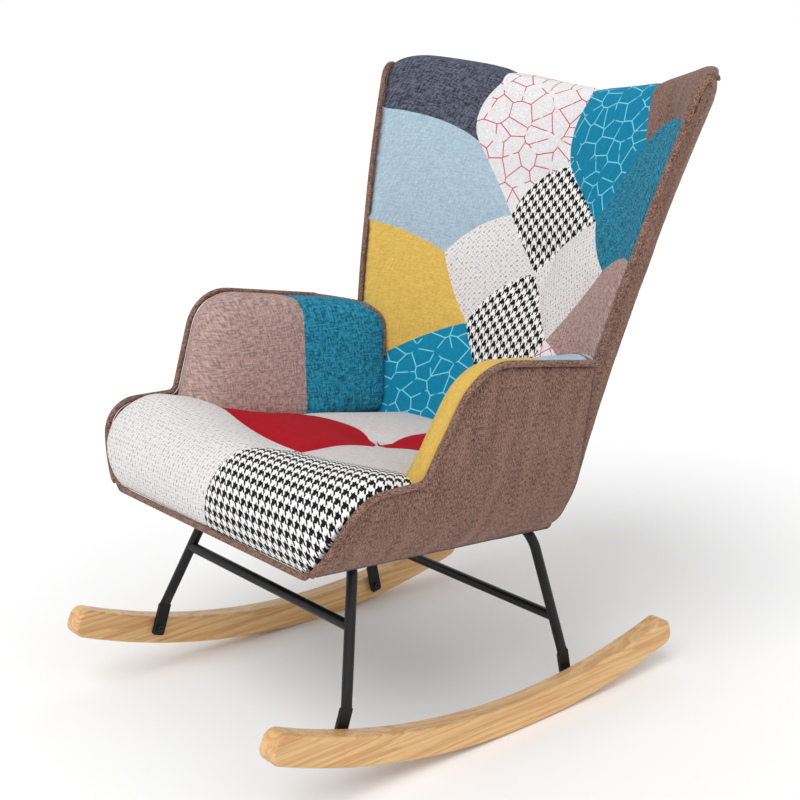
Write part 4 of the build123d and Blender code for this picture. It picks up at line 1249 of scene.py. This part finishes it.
class ARMCHAIR_OT_seat_cushion(bpy.types.Operator):
    """Sews the seat's patchwork cushion, with its front roll and tuft"""

    bl_idname = "armchair.seat_cushion"
    bl_label = "Seat cushion"

    def execute(self, context):
        size = sizes()
        seat = Seat(size)
        outline = oblong(-seat.wide, seat.wide, 0.0, seat.lengths[-1])
        tuft = (0.0, size.tuft_y)
        split = seat.flat(0.012, -0.2445)
        seams = [
            seat.seam((-0.300, -0.190), (0.0, -0.245), (0.300, -0.190)),
            np.array([split, (0.0, -0.01)]),
            seat.seam(tuft, (-0.090, -0.052), (-0.240, -0.090)),
            seat.seam(tuft, (0.090, -0.056), (0.240, -0.090)),
            seat.seam(tuft, (-0.010, -0.015), (-0.022, 0.149)),
            seat.seam(tuft, (0.018, -0.160), (0.030, -0.243)),
        ]
        labels = [seat.flat(*point) for point, turn in SEAT_PATCHES.values()]
        cut = Cut(outline, seams, labels, size.spacing)
        base = seat.place(cut.points[:, 0] / seat.wide, cut.points[:, 1])
        grain = np.column_stack([base[:, 0], cut.points[:, 1]])
        hollow = tuft_hollow(size, base[:, 0], base[:, 1] - size.contact_y - size.tuft_y)
        piece, held = sew(
            "seat_cushion_cloth", cut, base, grain, (0, -0.3, 1), *patchwork(SEAT_PATCHES),
            depth=0.010, puff=0.005, reach=0.018, hollow=hollow)
        swell(piece, held, pressure=4.0, cap=0.007)
        hand_over(piece, "patchwork", "seat_cushion", fill=0.8)
        return {"FINISHED"}


# Arms and sides

class Arm:
    """An arm pad: an inner face whose cloth goes over a rounded edge to the outer side's piping."""

    corners = [
        (-0.273, 0.385, 0.030),
        (0.100, 0.375, 0.030),
        (0.138, 0.551, 0.036),
        (-0.179, 0.601, 0.075),
    ]
    rounding = 0.35
    back_gap = 0.004
    cover_gap = 0.006

    def __init__(self, sizes):
        self.sizes = sizes
        self.face = rounded(grown(self.corners, -sizes.arm_round))
        self.cloth = rounded(grown(self.corners, sizes.arm_band - sizes.arm_round), 16)

    def place(self, points, side):
        """Points of the arm for points of its flat cloth."""
        size = self.sizes
        loop = np.vstack([self.face, self.face[:1]])
        foot = nearest(points, loop)
        out = points - foot
        gap = np.linalg.norm(out, axis=1)
        inside = contains(self.face, points)
        share = np.where(inside, 0.0, clamp(gap / size.arm_band))
        turn = np.minimum(share / self.rounding, 1.0) * math.pi / 2
        away = out / np.maximum(gap, TINY)[:, None]
        spot = np.where(inside[:, None], points, foot + away * (size.arm_round * np.sin(turn))[:, None])
        inner = arm_face(size, spot[:, 0], spot[:, 1])
        outer = Side(size).skin(spot[:, 0], spot[:, 1]) - size.pad_sink
        start = inner + size.arm_round * (1.0 - np.cos(turn))
        late = clamp((share - self.rounding) / (1.0 - self.rounding))
        x = start + np.maximum(outer - start, 0.0) * late
        y = np.minimum(spot[:, 0] + size.contact_y, self.rear_limit(x, outer, spot[:, 1]))
        return np.column_stack([side * x, y, spot[:, 1]])

    def rear_limit(self, x, outer, z):
        """How far back the arm may reach: to the back's face, or outside it to the side cover's rear."""
        back = Back(self.sizes)
        half = back.half_width(z)
        face = back.front(np.minimum(x / half, 1.0), z) - self.back_gap
        edge = SIDE_CORNERS[2][0] + self.sizes.contact_y - self.cover_gap
        beyond = clamp((x - half) / np.maximum(outer - half, 0.001))
        return face + (np.minimum(edge, face) - face) * beyond


class ARMCHAIR_OT_arm_pads(bpy.types.Operator):
    """Sews the two arm pads, each of a front and a rear patch"""

    bl_idname = "armchair.arm_pads"
    bl_label = "Arm pads"

    def execute(self, context):
        size = sizes()
        arm = Arm(size)
        made = cloths()
        patches = {LEFT: ("mustard", "light_blue"), RIGHT: ("taupe", "teal")}
        seam = np.array([(-0.075, 0.292), (-0.0066, 0.678)])
        cut = Cut(arm.cloth, [seam], [(-0.15, 0.48), (0.03, 0.48)], size.spacing)
        for side, names in patches.items():
            base = arm.place(cut.points, side)
            name = "arm_pad_cloth_" + SIDE_NAMES[side]
            piece, held = sew(
                name, cut, base, cut.points, (-side, 0, 0.3), [made[cloth] for cloth in names], [0.0, 0.0],
                depth=0.006, puff=0.003, reach=0.012)
            swell(piece, held, pressure=3.0, cap=0.005)
            hand_over(piece, "patchwork", "arm_pad_" + SIDE_NAMES[side], fill=0.8)
        return {"FINISHED"}


class ARMCHAIR_OT_side_covers(bpy.types.Operator):
    """Covers the two outer sides with brown chenille over thin foam"""

    bl_idname = "armchair.side_covers"
    bl_label = "Side covers"
    sink = 0.002
    groove_run = 0.025
    groove_start = 0.2

    def execute(self, context):
        size = sizes()
        brown = cloths()["brown"]
        cut = Cut(rounded(SIDE_CORNERS), [], [(-0.1, 0.45)], size.spacing * 1.1)
        y, z = cut.points.T
        unpiped = gaps_to(cut.points, [np.array([corner[:2] for corner in SIDE_CORNERS[:3]])])
        piped = clamp(unpiped / self.groove_run - self.groove_start)
        groove = size.piping_groove * piped * np.exp(-cut.edge_gap / size.piping_radius)
        half = Side(size).skin(y, z) - self.sink - groove
        for side in (LEFT, RIGHT):
            base = np.column_stack([side * half, y + size.contact_y, z])
            name = "side_cover_cloth_" + SIDE_NAMES[side]
            piece, held = sew(
                name, cut, base, cut.points, (side, 0, 0), [brown], [0.1],
                depth=0.0016, puff=0.003, reach=0.012)
            swell(piece, held, pressure=1.0, cap=0.003)
            hand_over(piece, "brown_chenille", "side_cover_" + SIDE_NAMES[side], fill=0.4)
        return {"FINISHED"}


# Piping

def tube(name, points, radius, material):
    """A round piping along points, closed at its ends."""
    curve = bpy.data.curves.new(name, "CURVE")
    curve.dimensions = "3D"
    curve.bevel_depth = radius
    curve.bevel_resolution = 3
    curve.use_fill_caps = True
    curve.resolution_u = 2
    spline = curve.splines.new("NURBS")
    spline.points.add(len(points) - 1)
    for control, point in zip(spline.points, points):
        control.co = (*point, 1.0)
    spline.order_u = 3
    spline.use_endpoint_u = True
    curve.materials.append(material)
    piece = bpy.data.objects.new(name, curve)
    bpy.context.scene.collection.objects.link(piece)
    return piece


class ARMCHAIR_OT_piping(bpy.types.Operator):
    """Lays the brown piping along the arms, the seat's front, the wings and the top"""

    bl_idname = "armchair.piping"
    bl_label = "Piping"
    run = 0.010
    steps = 60
    end_y = 0.045
    end_z = 0.470
    end_run = 0.055
    end_in = 0.82
    wing_start = 0.25
    wing_out = 0.001
    wing_forward = 0.0035
    front_in = 0.002
    front_sink = 0.0015
    front_corner = 0.016
    top_share = 0.955
    top_back = 0.001

    def execute(self, context):
        size = sizes()
        back = Back(size)
        for side in (LEFT, RIGHT):
            word = "_" + SIDE_NAMES[side]
            self.lay("side_piping", word, self.side_path(size, side), size.piping_radius)
            self.lay("wing_piping", word, self.wing_path(back, side), size.piping_radius)
        self.lay("front_piping", "", self.front_path(size), size.piping_radius)
        self.lay("top_piping", "", self.top_path(back), size.thin_piping_radius)
        return {"FINISHED"}

    def lay(self, kind, word, points, radius):
        """One piping in the frame."""
        cord = cloth_once("piping_cloth", lambda name, tint: chenille(name, tint, False), colours().brown)
        hand_over(tube(kind + "_cloth" + word, points, radius, cord), "brown_chenille", kind + word)

    def side_path(self, size, side):
        """Up the front, over the roll and the arm, then round the arm's rear end and down."""
        corners = grown(SIDE_CORNERS, 0.5 * size.piping_radius)
        loop = rounded(corners)
        loop = even(np.vstack([loop, loop[:4]]), self.run)
        start = np.abs(loop - np.array(corners[2][:2])).sum(axis=1).argmin()
        path = loop[start + 2:][::-1]
        half = Side(size).skin(path[:, 0], path[:, 1]) - size.piping_sink
        outer = np.column_stack([side * half, path[:, 0] + size.contact_y, path[:, 1]])
        return np.vstack([outer, self.arm_end_path(size, side)])

    def arm_end_path(self, size, side):
        """Round the arm's rear top corner, from its outer edge to its inner face, and down."""
        arm = Arm(size)
        face = even(arm.face, self.run)
        runs = np.gradient(face, axis=0)
        away = np.column_stack([runs[:, 1], -runs[:, 0]]) / np.linalg.norm(runs, axis=1)[:, None]
        kept = (face[:, 0] > self.end_y) & (face[:, 1] > self.end_z)
        face, away = face[kept][::-1], away[kept][::-1]
        late = np.maximum.accumulate(clamp((face[:, 0] - self.end_y) / self.end_run))
        share = 1.0 - self.end_in * eased(late)
        return arm.place(face + away * (share * size.arm_band)[:, None], side)

    def wing_path(self, back, side):
        """Up the wing's edge and round its ear to the top's rear edge."""
        height = np.linspace(self.wing_start, 1.0 + back.over, self.steps)
        path = back.place(np.full_like(height, side), height)
        return path + (side * self.wing_out, -self.wing_forward, 0.0)

    def front_path(self, size):
        """Along the seat's lower front edge from side to side."""
        y, z = SIDE_CORNERS[0][:2]
        half = float(Side(size).skin(y, z)) - self.front_in
        x = np.linspace(-half, half, self.steps + 1)
        late = clamp((np.abs(x) - half + self.front_corner) / self.front_corner)
        lift = self.front_corner * quarter(late) - self.front_sink
        return np.column_stack([x, np.full_like(x, y + size.contact_y + self.front_sink), z + lift])

    def top_path(self, back):
        """Along the top's rear edge from ear to ear."""
        share = np.linspace(-self.top_share, self.top_share, self.steps + 1)
        path = back.place(share, np.full_like(share, 1.0 + back.over))
        return path + (0.0, self.top_back, 0.0)


# Under the seat

class ARMCHAIR_OT_dust_cover(bpy.types.Operator):
    """Stretches the thin black cloth under the seat board"""

    bl_idname = "armchair.dust_cover"
    bl_label = "Dust cover"
    spacing = 0.016
    thick = 0.0008
    sag = 0.002
    sag_reach = 0.05

    def execute(self, context):
        tilt = sizes().seat_tilt
        low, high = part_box("dust_cover")
        vertices = frame["nodes"]["dust_cover"].data.vertices
        spots = [Vector((vertex.co.x, vertex.co.y)) for vertex in vertices]
        hull = np.array([spots[i][:] for i in convex_hull_2d(spots)])
        cut = Cut(hull, [], [(0.0, 0.0)], self.spacing)
        x, y = cut.points.T
        base = np.column_stack([x, y, low[2] + (high[1] - y) * math.tan(tilt) + 0.5 * self.thick])
        hollow = -self.sag * (1.0 - np.exp(-cut.edge_gap / self.sag_reach))
        black = felt("dust_cloth", colours().dust_cloth)
        piece, held = sew(
            "dust_cover_cloth", cut, base, cut.points, (0, 0, -1), [black], [0.0],
            depth=self.thick, puff=0.0, reach=self.sag_reach, hollow=hollow)
        smooth_out(piece)
        hand_over(piece, "dust_cloth", "dust_cover")
        area = 0.5 * np.linalg.norm(face_normals(base, cut.triangles), axis=1).sum()
        spread = hull.max(axis=0) - hull.min(axis=0)
        spread[1] /= math.cos(tilt)
        return {"FINISHED"}


# Wood and metal

class ARMCHAIR_OT_frame_finishes(bpy.types.Operator):
    """Finishes the rockers, tubes, boards and fasteners"""

    bl_idname = "armchair.frame_finishes"
    bl_label = "Wood and metal"

    def execute(self, context):
        tints = colours()
        wood = rocker_wood("rocker_wood", tints.wood_light, tints.wood_dark)
        board = board_wood("plywood", tints.plywood)
        coat = powder_coat("black_tube", tints.paint, 0.36, 0.0009)
        oxide = powder_coat("black_bolt", tints.oxide, 0.45, 0.0004)
        zinc = plated("zinc", tints.zinc)
        finishes = {
            "rocker_left": wood, "rocker_right": wood,
            "seat_board": board, "back_board": board, "side_shell_left": board, "side_shell_right": board,
            "front_leg_hoop": coat, "rear_leg_hoop": coat, "front_stretcher": coat, "rear_stretcher": coat,
            "rocker_bolts": oxide, "seat_bolts": oxide, "bracket_screws": oxide,
            "back_bracket_left": coat, "back_bracket_right": coat,
            "rocker_spacers": zinc, "rocker_inserts": zinc, "seat_tee_nuts": zinc,
        }
        for node, material in finishes.items():
            for slot in frame["nodes"][node].material_slots:
                slot.material = material
        return {"FINISHED"}


# Stage

class ARMCHAIR_OT_stage(bpy.types.Operator):
    """Sets the floor, the light and the camera"""

    bl_idname = "armchair.stage"
    bl_label = "Stage"

    def execute(self, context):
        self.set_floor()
        self.set_world(context.scene)
        self.set_sun("key_light", 1.5, 40, (math.radians(38), 0.0, math.radians(18)))
        self.set_sun("fill_light", 0.5, 60, (math.radians(58), 0.0, math.radians(80)))
        self.set_camera(context.scene)
        context.scene.view_settings.view_transform = "Standard"
        return {"FINISHED"}

    def set_floor(self):
        """A wide pale floor."""
        finish = Finish("studio_floor")
        finish.fix(Base_Color=paint(colours().floor), Roughness=0.9, Specular_IOR_Level=0.1)
        body = bmesh.new()
        bmesh.ops.create_grid(body, x_segments=8, y_segments=8, size=40.0)
        mesh = bpy.data.meshes.new("studio_floor")
        body.to_mesh(mesh)
        body.free()
        mesh.materials.append(finish.material)
        floor = bpy.data.objects.new("studio_floor", mesh)
        bpy.context.scene.collection.objects.link(floor)

    def set_world(self, scene):
        """An even white room: white to the eye and in reflections, softer as light."""
        world = bpy.data.worlds.new("studio")
        world.use_nodes = True
        background = world.node_tree.nodes["Background"]
        wire = Wire(world.node_tree)
        rays = ("Is Camera Ray", "Is Glossy Ray", "Is Transmission Ray")
        seen = [wire.add("ShaderNodeLightPath", (), (), name) for name in rays]
        direct = seen[0] + seen[1] + seen[2]
        strength = ROOM_LIGHT + direct.math("MINIMUM", direct, 1.0) * (1.0 - ROOM_LIGHT)
        background.inputs["Color"].default_value = (1.0, 1.0, 1.0, 1.0)
        world.node_tree.links.new(strength.socket, background.inputs["Strength"])
        scene.world = world

    def set_sun(self, name, strength, spread, turn):
        """A soft, wide lamp."""
        lamp = bpy.data.lights.new(name, "SUN")
        lamp.energy = strength
        lamp.angle = math.radians(spread)
        light = bpy.data.objects.new(name, lamp)
        light.rotation_euler = turn
        bpy.context.scene.collection.objects.link(light)

    def set_camera(self, scene):
        """The photograph's view of the chair."""
        lens = bpy.data.cameras.new("photograph_view")
        lens.sensor_width = 36.0
        lens.lens = 65.45
        camera = bpy.data.objects.new("photograph_view", lens)
        camera.location = (1.6755, -1.4316, 1.0555)
        camera.rotation_euler = (math.radians(74.78), 0.0, math.radians(49.72))
        scene.collection.objects.link(camera)
        scene.camera = camera


class ARMCHAIR_PT_panel(bpy.types.Panel):
    """Lists the chair's pieces in the sidebar"""

    bl_idname = "ARMCHAIR_PT_panel"
    bl_label = "Patchwork armchair"
    bl_space_type = "VIEW_3D"
    bl_region_type = "UI"
    bl_category = "Armchair"

    def draw(self, context):
        for maker in MAKERS:
            self.layout.operator(maker.bl_idname)
        for group in (context.scene.armchair_sizes, context.scene.armchair_colours):
            box = self.layout.box()
            for name in group.__annotations__:
                box.prop(group, name)


MAKERS = (
    ARMCHAIR_OT_stage,
    ARMCHAIR_OT_frame_finishes,
    ARMCHAIR_OT_back_cushion,
    ARMCHAIR_OT_back_cover,
    ARMCHAIR_OT_seat_cushion,
    ARMCHAIR_OT_arm_pads,
    ARMCHAIR_OT_side_covers,
    ARMCHAIR_OT_piping,
    ARMCHAIR_OT_dust_cover,
)
CLASSES = (ArmchairSizes, ArmchairColours) + MAKERS + (ARMCHAIR_PT_panel,)


def register():
    for kind in CLASSES:
        bpy.utils.register_class(kind)
    bpy.types.Scene.armchair_sizes = PointerProperty(type=ArmchairSizes)
    bpy.types.Scene.armchair_colours = PointerProperty(type=ArmchairColours)


def unregister():
    del bpy.types.Scene.armchair_colours
    del bpy.types.Scene.armchair_sizes
    for kind in reversed(CLASSES):
        bpy.utils.unregister_class(kind)


def main():
    """Makes every piece in order."""
    register()
    for maker in MAKERS:
        group, name = maker.bl_idname.split(".")
        getattr(getattr(bpy.ops, group), name)()


if __name__ == "__main__":
    main()
